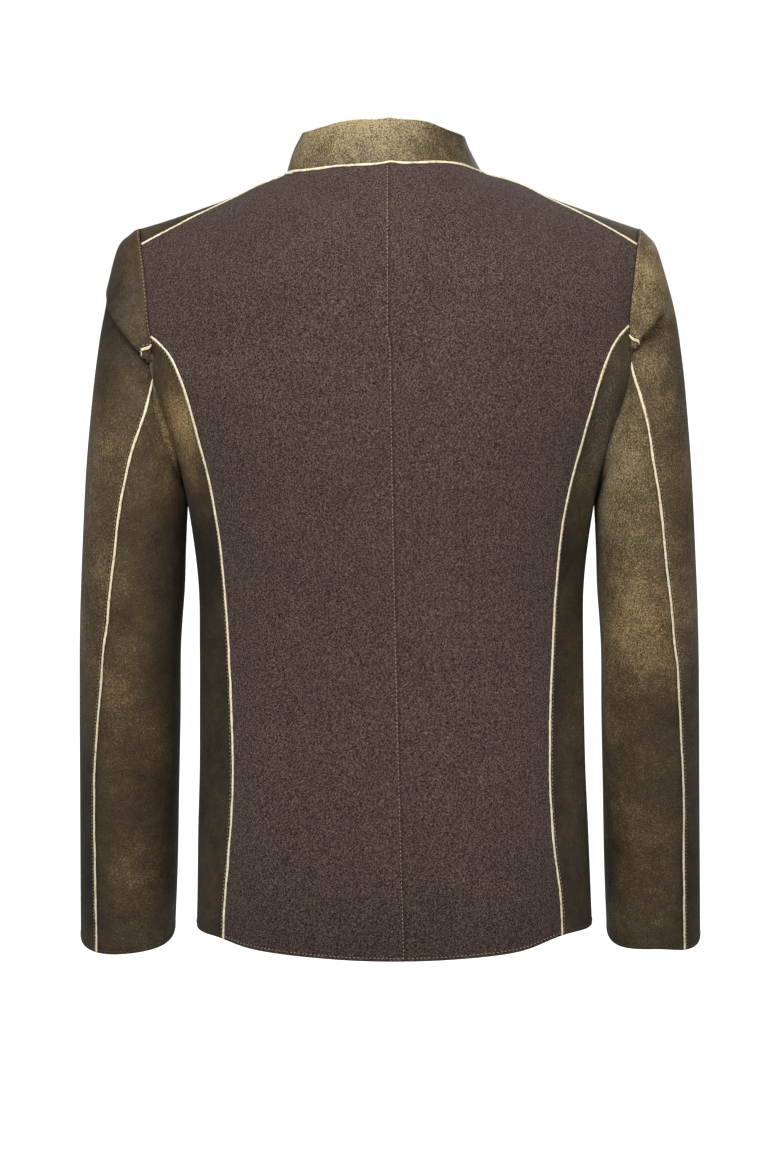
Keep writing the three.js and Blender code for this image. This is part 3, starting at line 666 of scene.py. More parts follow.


# Soft troughs and ridges, listed one by one. x, z: the middle in the back view, or in the front view
# where facing is -1. lean: degrees from level. A trough has a depth below zero.
SOFT_FOLDS = table(
    "x z facing length lean width depth",
    [
        (263, -205, 1, 95, 78, 16, 1.6),
        (238, -262, 1, 80, 70, 14, -1.4),
        (270, -345, 1, 70, 84, 15, 1.1),
        (214, -352, 1, 62, 100, 13, -1.3),
        (246, -398, 1, 58, 24, 15, -1.3),
        (238, -422, 1, 64, 12, 13, 1.2),
        (262, -455, 1, 50, -18, 14, -0.9),
        (232, -520, 1, 70, 96, 14, 1.0),
        (268, -585, 1, 90, 86, 15, -1.0),
        (240, -640, 1, 55, 80, 14, 0.9),
        (-262, -190, 1, 85, 102, 15, 1.4),
        (-232, -248, 1, 90, 108, 15, -1.5),
        (-268, -318, 1, 75, 95, 14, 1.2),
        (-218, -372, 1, 62, 82, 14, 1.0),
        (-250, -408, 1, 60, -20, 15, -1.2),
        (-236, -436, 1, 55, -8, 12, 1.2),
        (-270, -500, 1, 70, 92, 15, -1.1),
        (-236, -560, 1, 80, 86, 14, 1.1),
        (-262, -630, 1, 80, 95, 15, -1.0),
        (176, -330, 1, 90, 96, 12, -0.8),
        (-172, -350, 1, 95, 84, 12, -0.8),
        (120, -560, 1, 150, 84, 26, 1.3),
        (-96, -585, 1, 140, 97, 28, -1.3),
        (60, -640, 1, 90, 92, 22, -1.0),
        (-150, -640, 1, 80, 80, 18, 1.1),
        (150, -205, 1, 120, 62, 24, -1.2),
        (-150, -212, 1, 125, 120, 24, -1.2),
        (70, -420, 1, 120, 12, 24, -1.0),
        (-60, -436, 1, 130, -9, 24, -1.1),
        (120, -420, -1, 120, 14, 20, -1.4),
        (-110, -440, -1, 120, -12, 20, -1.5),
        (176, -200, -1, 110, 66, 20, -1.6),
        (-176, -206, -1, 110, 114, 20, -1.5),
        (90, -600, -1, 130, 86, 26, 1.6),
        (-100, -600, -1, 130, 95, 26, 1.6),
        (246, -400, -1, 60, 18, 14, -1.6),
        (236, -428, -1, 58, 6, 13, 1.3),
        (-250, -402, -1, 60, -16, 14, -1.6),
        (-238, -430, -1, 58, -4, 13, 1.3),
        (266, -560, -1, 90, 88, 15, 1.1),
        (-266, -550, -1, 90, 93, 15, 1.1),
    ],
)


def soft_push(points, normals):
    """How far the listed troughs and ridges move each point along its direction."""
    push = np.zeros(points.shape[:-1])
    for fold in each_row(SOFT_FOLDS):
        lean = math.radians(fold["lean"])
        dx, dz = points[..., 0] - fold["x"], points[..., 2] - fold["z"]
        along = dx * math.cos(lean) + dz * math.sin(lean)
        across = dz * math.cos(lean) - dx * math.sin(lean)
        across = across + 0.0012 * along**2
        reach = np.exp(-((across / fold["width"]) ** 2) - (along / (0.5 * fold["length"])) ** 2)
        push += fold["depth"] * reach * smooth(2 * fold["facing"] * normals[..., 1])
    return push


# Where this jacket departs from its even cut. x, z: the middle in the back view; facing: 1 for
# what faces back, 0 for all round; reach_x, reach_z: how far it spreads; dx, dz: the shift.
SHIFTS = table(
    "x z facing reach_x reach_z dx dz",
    [
        (-214, -128, 1, 34, 34, 3, 10),
        (-252, -52, 0, 34, 60, 6, 0),
        (-292, -560, 0, 26, 200, 1.6, 0),
        (-290, -280, 0, 32, 240, 2.6, 0),
        (288, -190, 0, 34, 210, 2, 0),
        (213, -154, 1, 11, 24, -4, 0),
        (-214, -160, 1, 9, 20, 1.5, 0),
        (154, -450, 1, 24, 420, 2, 0),
        (172, -205, 1, 20, 60, 1.2, 0),
        (-154, -700, 1, 24, 150, 2.2, 0),
        (-170, -215, 1, 18, 60, -1.5, 0),
        (157, -690, 1, 20, 50, 0, 3.8),
        (-160, -690, 1, 30, 60, 0, 7),
        (200, -706, 0, 26, 50, 0, -4.4),
        (-204, -706, 0, 20, 50, 0, -6),
        (-258, -712, 0, 26, 60, 0, 5),
        (-58, 60, 0, 26, 22, 0, -9),
        (-78, 50, 0, 14, 18, 2.5, -5),
        (78, 50, 0, 10, 16, -1, -1),
        (84, 24, 0, 14, 20, 3.6, 1),
        (-84, 24, 0, 14, 20, 0, -5),
        (30, 60, 0, 22, 18, 0, 1.4),
    ],
)


def shifted(points):
    moved = np.array(points)
    for shift in each_row(SHIFTS):
        reach = np.exp(
            -(((points[..., 0] - shift["x"]) / shift["reach_x"]) ** 2)
            - ((points[..., 2] - shift["z"]) / shift["reach_z"]) ** 2
        )
        reach = reach * np.where(shift["facing"] > 0, smooth((points[..., 1] + 10) / 50), 1)
        moved[..., 0] += shift["dx"] * reach
        moved[..., 2] += shift["dz"] * reach
    return moved


# Cloth: a grid of points with the directions out of it


class Cloth:
    # How much painted crease shade each point carries
    crease_shade = 0

    def __init__(self, points, middle, soft=True):
        self.points = shifted(points)
        self.normals = directions(self.points, middle)
        if soft:
            push = soft_push(self.points, self.normals)
            self.points = self.points + self.normals * push[..., None]
            self.normals = directions(self.points, middle)

    def turned_in(self, edges, reach, depth):
        """Rounds the cloth down into the seams along the named edges."""
        for edge in edges:
            distance = self.from_edge(edge)
            push = -depth * np.exp(-((distance / reach) ** 2))
            self.points = self.points + self.normals * push[..., None]
        return self

    def from_edge(self, edge):
        """Distance of each point from an edge, along the cloth."""
        axis = 1 if edge in ("first", "last") else 0
        gaps = np.linalg.norm(np.diff(self.points, axis=axis), axis=-1)
        zero = np.zeros_like(np.take(gaps, [0], axis=axis))
        run = np.cumsum(np.concatenate([zero, gaps], axis=axis), axis=axis)
        if edge in ("first", "hem"):
            return run
        return np.take(run, [-1], axis=axis) - run

    def line(self, edge, inset=0.0):
        """The line that runs inset from an edge, with its directions out."""
        distance = self.from_edge(edge)
        points, normals = self.points, self.normals
        if edge in ("hem", "top"):
            distance, points, normals = distance.T, *(
                v.transpose(1, 0, 2) for v in (points, normals)
            )
        if edge in ("last", "top"):
            distance, points, normals = (v[:, ::-1] for v in (distance, points, normals))
        return [
            np.array(
                [
                    [np.interp(inset, d, row[:, k]) for k in range(3)]
                    for d, row in zip(distance, grid)
                ]
            )
            for grid in (points, normals)
        ]

    def size(self):
        """Width, length and area of the cut, in metres."""
        width = self.from_edge("first")[:, -1].max()
        length = self.from_edge("hem")[-1].max()
        a = np.diff(self.points, axis=0)[:, :-1]
        b = np.diff(self.points, axis=1)[:-1]
        area = np.linalg.norm(np.cross(a, b), axis=-1).sum()
        return width * MM, length * MM, area * MM * MM


def evened(line, pitch, start=0.0, end=0.0):
    """Points along a line at an even pitch, leaving start and end millimetres free."""
    points, normals = line
    run = np.concatenate([[0], np.cumsum(np.linalg.norm(np.diff(points, axis=0), axis=1))])
    count = max(2, int((run[-1] - start - end) / pitch) + 1)
    at = np.linspace(start, run[-1] - end, count)
    place = [np.stack([np.interp(at, run, v[:, k]) for k in range(3)], axis=-1) for v in line]
    along = np.gradient(place[0], axis=0)
    along /= np.linalg.norm(along, axis=1, keepdims=True)
    out = place[1] / np.linalg.norm(place[1], axis=1, keepdims=True)
    return place[0], out, along


# Colours and nodes


def linear(code):
    """Linear light from an sRGB hex value."""
    parts = [int(code[k : k + 2], 16) / 255 for k in (1, 3, 5)]
    return [v / 12.92 if v <= 0.04045 else ((v + 0.055) / 1.055) ** 2.4 for v in parts]


def add(tree, kind, settings=None, **links):
    """Adds a node, sets its values and joins its inputs."""
    node = tree.nodes.new(kind)
    for name, value in (settings or {}).items():
        if name in node.inputs:
            node.inputs[name].default_value = value
        elif name.isdigit():
            node.inputs[int(name)].default_value = value
        else:
            setattr(node, name, value)
    for name, socket in links.items():
        key = name.replace("_", " ")
        target = node.inputs[int(key[1:])] if key[1:].isdigit() else node.inputs[key]
        tree.links.new(socket, target)
    return node


def ramp(tree, socket, stops):
    node = add(tree, "ShaderNodeValToRGB", Fac=socket)
    elements = node.color_ramp.elements
    while len(elements) < len(stops):
        elements.new(0.5)
    for element, (place, colour) in zip(elements, stops):
        element.position = place
        element.color = (*colour, 1)
    return node.outputs["Color"]


def blank_material(name):
    material = bpy.data.materials.new(name)
    material.use_nodes = True
    material.node_tree.nodes.clear()
    return material, material.node_tree


def per_millimetre(size):
    """Scale of a pattern on coordinates in metres whose grain measures size millimetres."""
    return 1 / (size * MM)


def painted(tree, name):
    """A value that the cloth carries at each of its points."""
    return add(tree, "ShaderNodeAttribute", {"attribute_name": name}).outputs["Fac"]


def noise_of(tree, place, size, detail, rough):
    """Soft noise whose grain measures size millimetres."""
    settings = {"Scale": per_millimetre(size), "Detail": detail, "Roughness": rough}
    return add(tree, "ShaderNodeTexNoise", settings, Vector=place).outputs["Fac"]


def bumped(tree, height, strength, depth, **links):
    """Raises the surface by a pattern, depth millimetres at most."""
    settings = {"Strength": strength, "Distance": depth * MM}
    return add(tree, "ShaderNodeBump", settings, Height=height, **links).outputs["Normal"]


# How much lighter and darker the clouds and the mottle make the leather
CLOUD_DEPTH = 0.4
MOTTLE_DEPTH = 0.26
SUPPLE_SIZE = 22
WOOL_CLOUD_SIZE = 45
# How strong the nap's flecks are, with no wear and more with its square
FLECK_PLAIN = 0.45
FLECK_WORN = 2.3


def leather_material(name, props):
    """Waxed sheepskin: a napped, matt skin whose wax has rubbed to gold in soft clouds.
    Its seams and fold creases are darkened by painted shade.
    """
    material, tree = blank_material(name)
    coords = add(tree, "ShaderNodeTexCoord").outputs["Object"]
    patina, warmth, seam = (painted(tree, key) for key in ("patina", "warmth", "seam"))

    def noise(size, detail, rough=0.55):
        return noise_of(tree, coords, size, detail, rough)

    def times(factor, tint, base):
        """The base multiplied by a tint, as far as the factor says."""
        settings = {"data_type": "RGBA", "blend_type": "MULTIPLY", "7": (*tint, 1)}
        return add(tree, "ShaderNodeMix", settings, i0=factor, i6=base).outputs[2]

    def maths(operation, a, b):
        node = add(tree, "ShaderNodeMath", {"operation": operation})
        for k, value in enumerate((a, b)):
            if isinstance(value, (int, float)):
                node.inputs[k].default_value = value
            else:
                tree.links.new(value, node.inputs[k])
        return node.outputs[0]

    def centred(value, depth):
        """A noise about nought, as strong as depth says."""
        return maths("MULTIPLY", maths("SUBTRACT", value, 0.5), depth)

    clouds = centred(noise(props.cloud_size, 3), CLOUD_DEPTH)
    mottle = centred(noise(props.mottle_size, 4), MOTTLE_DEPTH)
    nap = noise(props.nap_size, 2, 0.7)
    wear = maths("MULTIPLY", maths("MULTIPLY", patina, patina), FLECK_WORN)
    speckle = centred(nap, maths("ADD", wear, FLECK_PLAIN))
    tone = maths("ADD", maths("ADD", patina, clouds), maths("ADD", mottle, speckle))
    stops = [
        (0.0, tuple(props.leather_dark)),
        (0.3, tuple(props.leather_mid)),
        (0.62, tuple(props.leather_light)),
        (1.0, tuple(props.leather_gold)),
    ]
    warm = times(warmth, (1.12, 0.93, 0.76), ramp(tree, tone, stops))
    cool = times(maths("MULTIPLY", warmth, -1), (0.94, 1.0, 1.2), warm)
    # Painted shade: darker along the seams and in the drag folds' creases
    with_painted_shade = times(seam, (0.42, 0.38, 0.34), cool)
    grain = add(
        tree,
        "ShaderNodeTexVoronoi",
        {"Scale": per_millimetre(props.grain_size), "feature": "SMOOTH_F1", "Smoothness": 0.6},
        Vector=coords,
    ).outputs["Distance"]
    height = maths("ADD", maths("MULTIPLY", grain, 0.6), maths("MULTIPLY", nap, 0.7))
    fine = bumped(tree, height, 0.5, 0.3)
    supple = bumped(tree, noise(SUPPLE_SIZE, 2, 0.45), 0.6, 1.6, Normal=fine)
    shine = add(tree, "ShaderNodeMapRange", {"To Min": 0.72, "To Max": 0.5}, Value=tone)
    shader = add(
        tree,
        "ShaderNodeBsdfPrincipled",
        {"IOR": 1.45, "Specular IOR Level": 0.22, "Sheen Weight": 0.03, "Sheen Roughness": 0.5},
        Base_Color=with_painted_shade,
        Roughness=shine.outputs["Result"],
        Normal=supple,
    )
    add(tree, "ShaderNodeOutputMaterial", Surface=shader.outputs["BSDF"])
    return material


def wool_material(name, props):
    """Milled wool in mixed browns: short fibres at a slant, with a soft halo at grazing angles.
    Painted shade darkens it towards the hem and along its centre seam.
    """
    material, tree = blank_material(name)
    coords = add(tree, "ShaderNodeTexCoord").outputs["Object"]

    def fibres(lean, size):
        """Flecks drawn out along a slant in the plane of the back."""
        turned = add(
            tree,
            "ShaderNodeMapping",
            {
                "vector_type": "TEXTURE",
                "Rotation": (0, math.radians(lean), 0),
                "Scale": (1, 1, props.fibre_stretch),
            },
            Vector=coords,
        ).outputs["Vector"]
        return noise_of(tree, turned, size, 2, 0.65)

    def blend(kind, factor, a, b):
        node = add(tree, "ShaderNodeMix", {"data_type": "RGBA", "blend_type": kind})
        for socket, value in ((0, factor), (6, a), (7, b)):
            if isinstance(value, bpy.types.NodeSocket):
                tree.links.new(value, node.inputs[socket])
            elif isinstance(value, (int, float)):
                node.inputs[socket].default_value = value
            else:
                node.inputs[socket].default_value = (*value, 1)
        return node.outputs[2]

    down, up = fibres(52, props.fibre_size), fibres(-40, props.fibre_size * 1.1)
    ground = ramp(
        tree,
        down,
        [
            (0.38, linear("#130d0a")),
            (0.46, tuple(props.wool_dark)),
            (0.53, tuple(props.wool_mid)),
            (0.62, tuple(props.wool_light)),
        ],
    )
    other = ramp(
        tree,
        up,
        [
            (0.4, linear("#130d0b")),
            (0.49, tuple(props.wool_mid)),
            (0.56, linear("#685c5e")),
            (0.64, tuple(props.wool_light)),
        ],
    )
    mixed = blend("MIX", 0.5, ground, other)
    clouds = noise_of(tree, coords, WOOL_CLOUD_SIZE, 3, 0.5)
    shade = ramp(tree, clouds, [(0.3, (0.93, 0.92, 0.93)), (0.7, (1.05, 1.045, 1.04))])
    tinted = blend("MULTIPLY", 1.0, mixed, shade)
    # Painted shade and light: the wool is scaled by its patches, darker towards the hem
    shaded = add(
        tree,
        "ShaderNodeVectorMath",
        {"operation": "SCALE"},
        i0=tinted,
        Scale=painted(tree, "patina"),
    ).outputs["Vector"]
    # Painted shade along the centre back seam
    with_painted_shade = blend("MULTIPLY", painted(tree, "seam"), shaded, (0.34, 0.32, 0.32))
    felt = bumped(tree, up, 0.6, 0.5, Normal=bumped(tree, down, 0.75, 0.5))
    shader = add(
        tree,
        "ShaderNodeBsdfPrincipled",
        {
            "Roughness": 0.95,
            "Specular IOR Level": 0.12,
            "Sheen Weight": 0.06,
            "Sheen Roughness": 0.6,
        },
        Base_Color=with_painted_shade,
        Normal=felt,
    )
    add(tree, "ShaderNodeOutputMaterial", Surface=shader.outputs["BSDF"])
    return material


def plain_material(name, stops, size, roughness, specular=0.3, bump=0.2, sheen=0.0):
    """A finish whose colour varies with one noise of the given grain, in millimetres."""
    material, tree = blank_material(name)
    coords = add(tree, "ShaderNodeTexCoord").outputs["Object"]
    noise = noise_of(tree, coords, size, 4, 0.6)
    tone = ramp(tree, noise, [(place, linear(code)) for place, code in stops])
    shader = add(
        tree,
        "ShaderNodeBsdfPrincipled",
        {"Roughness": roughness, "Specular IOR Level": specular, "Sheen Weight": sheen},
        Base_Color=tone,
        Normal=bumped(tree, noise, 0.6, bump),
    )
    add(tree, "ShaderNodeOutputMaterial", Surface=shader.outputs["BSDF"])
    return material


MAKERS = {
    "Waxed sheepskin": lambda props: leather_material("Waxed sheepskin", props),
    "Sheepskin flesh side": lambda props: plain_material(
        "Sheepskin flesh side",
        [(0.3, "#4a4034"), (0.7, "#6b5d4a")],
        1.4,
        0.95,
        specular=0.1,
        bump=0.4,
        sheen=0.3,
    ),
    "Milled melange wool": lambda props: wool_material("Milled melange wool", props),
    "Raw-cut cream edge": lambda props: plain_material(
        "Raw-cut cream edge",
        [(0.28, "#c0935a"), (0.4, "#efd9a8"), (0.52, "#fdf0d2"), (0.8, "#fffbee")],
        2.2,
        0.9,
        specular=0.15,
        bump=0.35,
        sheen=0.2,
    ),
    "Linen thread": lambda props: plain_material(
        "Linen thread", [(0.3, "#8f7d63"), (0.7, "#c9b897")], 1.2, 0.75, bump=0.08
    ),
    "Dark waxed thread": lambda props: plain_material(
        "Dark waxed thread", [(0.3, "#4b3f35"), (0.7, "#7d6c58")], 1.2, 0.7, bump=0.08
    ),
    "Polished horn": lambda props: plain_material(
        "Polished horn",
        [(0.3, "#231811"), (0.55, "#4a3626"), (0.8, "#8a6a48")],
        7.0,
        0.28,
        specular=0.5,
        bump=0.05,
    ),
}


def finish_named(name, scene):
    """The finish of that name, made once."""
    found = bpy.data.materials.get(name)
    return found or MAKERS[name](scene.jacket_finish)


# Meshes


def grid_mesh(name, points, outwards):
    """A mesh whose grid of vertices is moved to the given points, its faces pointing outwards."""
    rows, columns = points.shape[:2]
    bm = bmesh.new()
    bmesh.ops.create_grid(bm, x_segments=columns - 1, y_segments=rows - 1, size=0.5)
    order = [
        round((v.co.y + 0.5) * (rows - 1)) * columns + round((v.co.x + 0.5) * (columns - 1))
        for v in bm.verts
    ]
    flat = points.reshape(-1, 3) * MM
    for vert, place in zip(bm.verts, order):
        vert.co = flat[place]
    bm.normal_update()
    bm.faces.ensure_lookup_table()
    middle = bm.faces[len(bm.faces) // 2]
    nearest = outwards.reshape(-1, 3)[order[middle.verts[0].index]]
    if middle.normal.dot(Vector(nearest)) < 0:
        bmesh.ops.reverse_faces(bm, faces=bm.faces)
    for face in bm.faces:
        face.smooth = True
    mesh = bpy.data.meshes.new(name)
    bm.to_mesh(mesh)
    bm.free()
    return mesh, np.array(order)


def new_object(name, mesh):
    piece = bpy.data.objects.new(name, mesh)
    bpy.context.scene.collection.objects.link(piece)
    return piece


def patch_tones_of(points, normals, base, patches):
    """How golden and warm the leather is, or how light the wool is, at each point, from listed
    patches.
    Some patches hold painted shade: the sleeves' outer edges and the wool towards the hem.
    """
    values = {"patina": np.full(points.shape[:-1], base), "warmth": np.zeros(points.shape[:-1])}
    for patch in each_row(patches):
        reach = np.exp(
            -(((points[..., 0] - patch["x"]) / patch["reach_x"]) ** 2)
            - ((points[..., 2] - patch["z"]) / patch["reach_z"]) ** 2
        )
        reach = reach * smooth(0.5 + patch["facing"] * 2 * normals[..., 1])
        values["patina"] += patch["gold"] * reach
        values["warmth"] += patch["warmth"] * reach
    return values


def sewn_cloth(name, cloth, wall, outside, inside, slot, nodes, rests_on, attributes):
    """A thin piece of cloth with real thickness, whose cut's size is worked out."""
    mesh, order = grid_mesh(name, cloth.points, cloth.normals)
    for key, values in attributes.items():
        layer = mesh.attributes.new(key, "FLOAT", "POINT")
        layer.data.foreach_set("value", np.clip(values, -1, 2).reshape(-1)[order])
    piece = new_object(name, mesh)
    mesh.materials.append(outside)
    mesh.materials.append(inside)
    shell = piece.modifiers.new("Wall", "SOLIDIFY")
    shell.thickness = wall * MM
    shell.offset = -1
    shell.use_even_offset = False
    shell.material_offset = 1
    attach(piece, ROOT)
    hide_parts(*nodes)
    width, length, area = cloth.size()
    flat = (round(width, 3), round(length, 3))
    area = min(round(area, 4), round(flat[0] * flat[1], 4))


def seam_shade(cloth, edges, reach=2.2):
    shade = np.zeros(cloth.points.shape[:2])
    for edge in edges:
        shade = np.maximum(shade, np.exp(-((cloth.from_edge(edge) / reach) ** 2)))
    return shade


WELT_SIDES = 10
# How far a stitch may lean, and how far its middle stands above the cloth, in millimetres
STITCH_SKEW = 0.06
STITCH_LIFT = 0.25


def welt_mesh(name, line, props, seed, width, height, lift):
    """A raw-cut edge along a line: a ragged, slightly wavering strip, closed at its ends."""
    points, out, along = line
    rng = np.random.default_rng(seed)
    count = len(points)
    across = np.cross(along, out)

    def waver(spacing, amount):
        knots = rng.normal(0, amount, count // spacing + 3)
        return np.interp(np.arange(count) / spacing, np.arange(len(knots)), knots)

    wide = width / 2 * (1 + waver(9, 0.08) + waver(3, 0.07))
    tall = height * (1 + waver(6, 0.1))
    drift = waver(14, 0.16) + waver(4, 0.06)
    turn = np.linspace(0, 2 * math.pi, WELT_SIDES + 1)
    sides, rise = np.cos(turn), np.sin(turn)
    ragged = rng.normal(0, props.raggedness, (WELT_SIDES + 1, count))
    ragged[-1] = ragged[0]
    grid = (
        points
        + across * (drift + sides[:, None] * wide + ragged)[..., None]
        + out * (lift + tall / 2 * (1 + rise[:, None]) + 0.4 * ragged)[..., None]
    )
    middle = points + out * (lift + height / 2)
    mesh, _ = grid_mesh(name, grid, grid - middle)
    bm = bmesh.new()
    bm.from_mesh(mesh)
    bmesh.ops.remove_doubles(bm, verts=bm.verts, dist=1e-7)
    bmesh.ops.holes_fill(bm, edges=[e for e in bm.edges if e.is_boundary], sides=0)
    bmesh.ops.recalc_face_normals(bm, faces=bm.faces)
    for face in bm.faces:
        face.smooth = True
    bm.to_mesh(mesh)
    bm.free()
    return mesh


def stitched_rows(name, rows, props, material, seed):
    """Rows of thread: a small rounded stitch at each place of each row, in one mesh."""
    rng = np.random.default_rng(seed)
    bm = bmesh.new()
    for line in rows:
        points, out, along = line
        across = np.cross(out, along)
        for p, n, t, s in zip(points, out, along, across):
            skew = rng.normal(0, STITCH_SKEW)
            t, s = t + skew * s, s - skew * t
            half = props.stitch_length / 2 * rng.uniform(0.9, 1.08)
            size = props.thread_width / 2
            matrix = Matrix(np.column_stack([t * half, s * size, n * size * 0.8]) * MM).to_4x4()
            matrix.translation = Vector((p + n * STITCH_LIFT) * MM)
            bmesh.ops.create_icosphere(bm, subdivisions=1, radius=1, matrix=matrix)
    for face in bm.faces:
        face.smooth = True
    mesh = bpy.data.meshes.new(name)
    bm.to_mesh(mesh)
    bm.free()
    piece = new_object(name, mesh)
    mesh.materials.append(material)
    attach(piece, ROOT)


# The cut pieces, worked out once

PIECES = {}


def cut_pieces(cell):
    """Works out the form of every piece of cloth, in millimetres."""
    if PIECES:
        return PIECES
    middle = (0, SIDE_Y, -300)
    for name, side in SIDES.items():
        PIECES[f"back_{name}"] = Cloth(back_points(side, cell), middle)
        PIECES[f"side_{name}"] = Cloth(side_points(side, cell), middle)
        PIECES[f"front_{name}"] = Cloth(front_points(side, cell), middle)
        for part, first, last in (
            ("under", SEAM_BACK, SEAM_FRONT),
            ("top", SEAM_FRONT, STATIONS + SEAM_BACK),
        ):
            PIECES[f"sleeve_{part}_{name}"] = sleeve_cloth(name, first, last, cell)
    PIECES["collar"] = Cloth(collar_points(cell), (NECK["x"], NECK["y"], 20), soft=False)
    return PIECES


# How far the head of the sleeve stands up behind its seam
HEAD_ROLL = 1.6
# Length of the sleeve from each ring to the next
SLEEVE_LENGTHS = [10, 18, 34, 46, 64, 64, 72, 82, 82, 84, 84, 70]
FOLD_CELL = 1.1


def sleeve_rings(cell):
    """Ring numbers a cell apart, and closer where the drag fold runs."""
    parts = []
    for ring, length in enumerate(SLEEVE_LENGTHS):
        close = FOLD_CELL if ring < 4 else cell
        parts.append(ring + np.linspace(0, 1, math.ceil(length / close) + 1)[:-1])
    return fine_ends(np.concatenate([*parts, [float(len(SLEEVE_LENGTHS))]]))


def sleeve_cloth(name, first, last, cell):
    cells = math.ceil((last - first) * STATION / cell)
    station = fine_ends(np.linspace(first, last, cells + 1))
    # A little wider than the piece, so that both pieces agree on their seams' directions
    margin = 0.25
    wide = np.concatenate([[first - margin], station, [last + margin]])
    ring, station = np.meshgrid(sleeve_rings(cell), wide, indexing="ij")
    turn = sleeve_turn(station, ring, name)
    points, centre = plain_sleeve(station, ring, turn, name)
    points, crease_shade = fold_shift(points, directions(points, centre), turn, ring, name)
    tilt = CUFF_TILT * smooth((ring - CUFF_TILT_FROM) / 3)
    points[..., 2] -= (points[..., 1] - centre[..., 1]) * tilt
    if SIDES[name] < 0:
        points = points * (-1, 1, 1)
        centre = centre * (-1, 1, 1)
    head = np.linalg.norm(points - points[:1], axis=-1, keepdims=True)
    behind = smooth((points[..., 1] + 20) / 30)[..., None]
    roll = HEAD_ROLL * np.exp(-(((head - 4) / 4) ** 2)) * behind
    points = points + directions(points, centre) * roll
    cloth = Cloth(points[::-1], centre[::-1])
    cloth.points, cloth.normals = (v[:, 1:-1] for v in (cloth.points, cloth.normals))
    cloth.crease_shade = crease_shade[::-1, 1:-1]
    return cloth


# Sizes and finishes that a user would change


class JacketCloth(PropertyGroup):
    cell: FloatProperty(name="Cell", description="Fineness of the cloth's mesh, mm", default=4.0)
    leather_wall: FloatProperty(name="Leather", description="Leather thickness, mm", default=1.6)
    wool_wall: FloatProperty(name="Wool", description="Wool thickness, mm", default=2.0)


class JacketSewing(PropertyGroup):
    welt_width: FloatProperty(name="Welt width", description="Raw edge, mm", default=2.3)
    welt_height: FloatProperty(name="Welt height", description="Raw edge, mm", default=1.3)
    raggedness: FloatProperty(name="Raggedness", description="Of the raw edges, mm", default=0.07)
    pitch: FloatProperty(name="Pitch", description="Stitch spacing, mm", default=3.6)
    stitch_length: FloatProperty(name="Stitch", description="Stitch length, mm", default=2.3)
    thread_width: FloatProperty(name="Thread", description="Thread thickness, mm", default=0.8)


def colour(name, code):
    return FloatVectorProperty(
        name=name, description=f"{name} tone", subtype="COLOR", default=linear(code)
    )


class JacketFinish(PropertyGroup):
    leather_dark: colour("Leather dark", "#120e0a")
    leather_mid: colour("Leather middle", "#322a20")
    leather_light: colour("Leather light", "#594b35")
    leather_gold: colour("Leather gold", "#b3a179")
    wool_dark: colour("Wool dark", "#2a1f1b")
    wool_mid: colour("Wool middle", "#45362f")
    wool_light: colour("Wool light", "#9a8170")
    cloud_size: FloatProperty(name="Clouds", description="Size of the clouds, mm", default=42)
    mottle_size: FloatProperty(name="Mottle", description="Size of the mottle, mm", default=10)
    nap_size: FloatProperty(name="Nap", description="Size of the nap's flecks, mm", default=1.2)
    grain_size: FloatProperty(name="Grain", description="Size of the pebbles, mm", default=1.8)
    fibre_size: FloatProperty(name="Fibre", description="Thickness of wool flecks, mm", default=0.66)
    fibre_stretch: FloatProperty(name="Fibre stretch", description="Length of a fleck", default=2.6)


class JacketStage(PropertyGroup):
    floor: FloatProperty(name="Floor", description="Floor height", unit="LENGTH", default=-1.5)
    key: FloatProperty(name="Key light", description="Power of the key light, W", default=43)
    fill: FloatProperty(name="Fill light", description="Power of the fill light, W", default=10)
    front: FloatProperty(name="Front light", description="Power of the front light, W", default=9)
    world: FloatProperty(name="Surround", description="Brightness all round", default=0.32)


# How golden each piece is on the whole. For the back it is how light the wool is.
WEAR = {"side": 0.34, "front": 0.42, "sleeve": 0.485, "collar": 0.62, "back": 0.86}
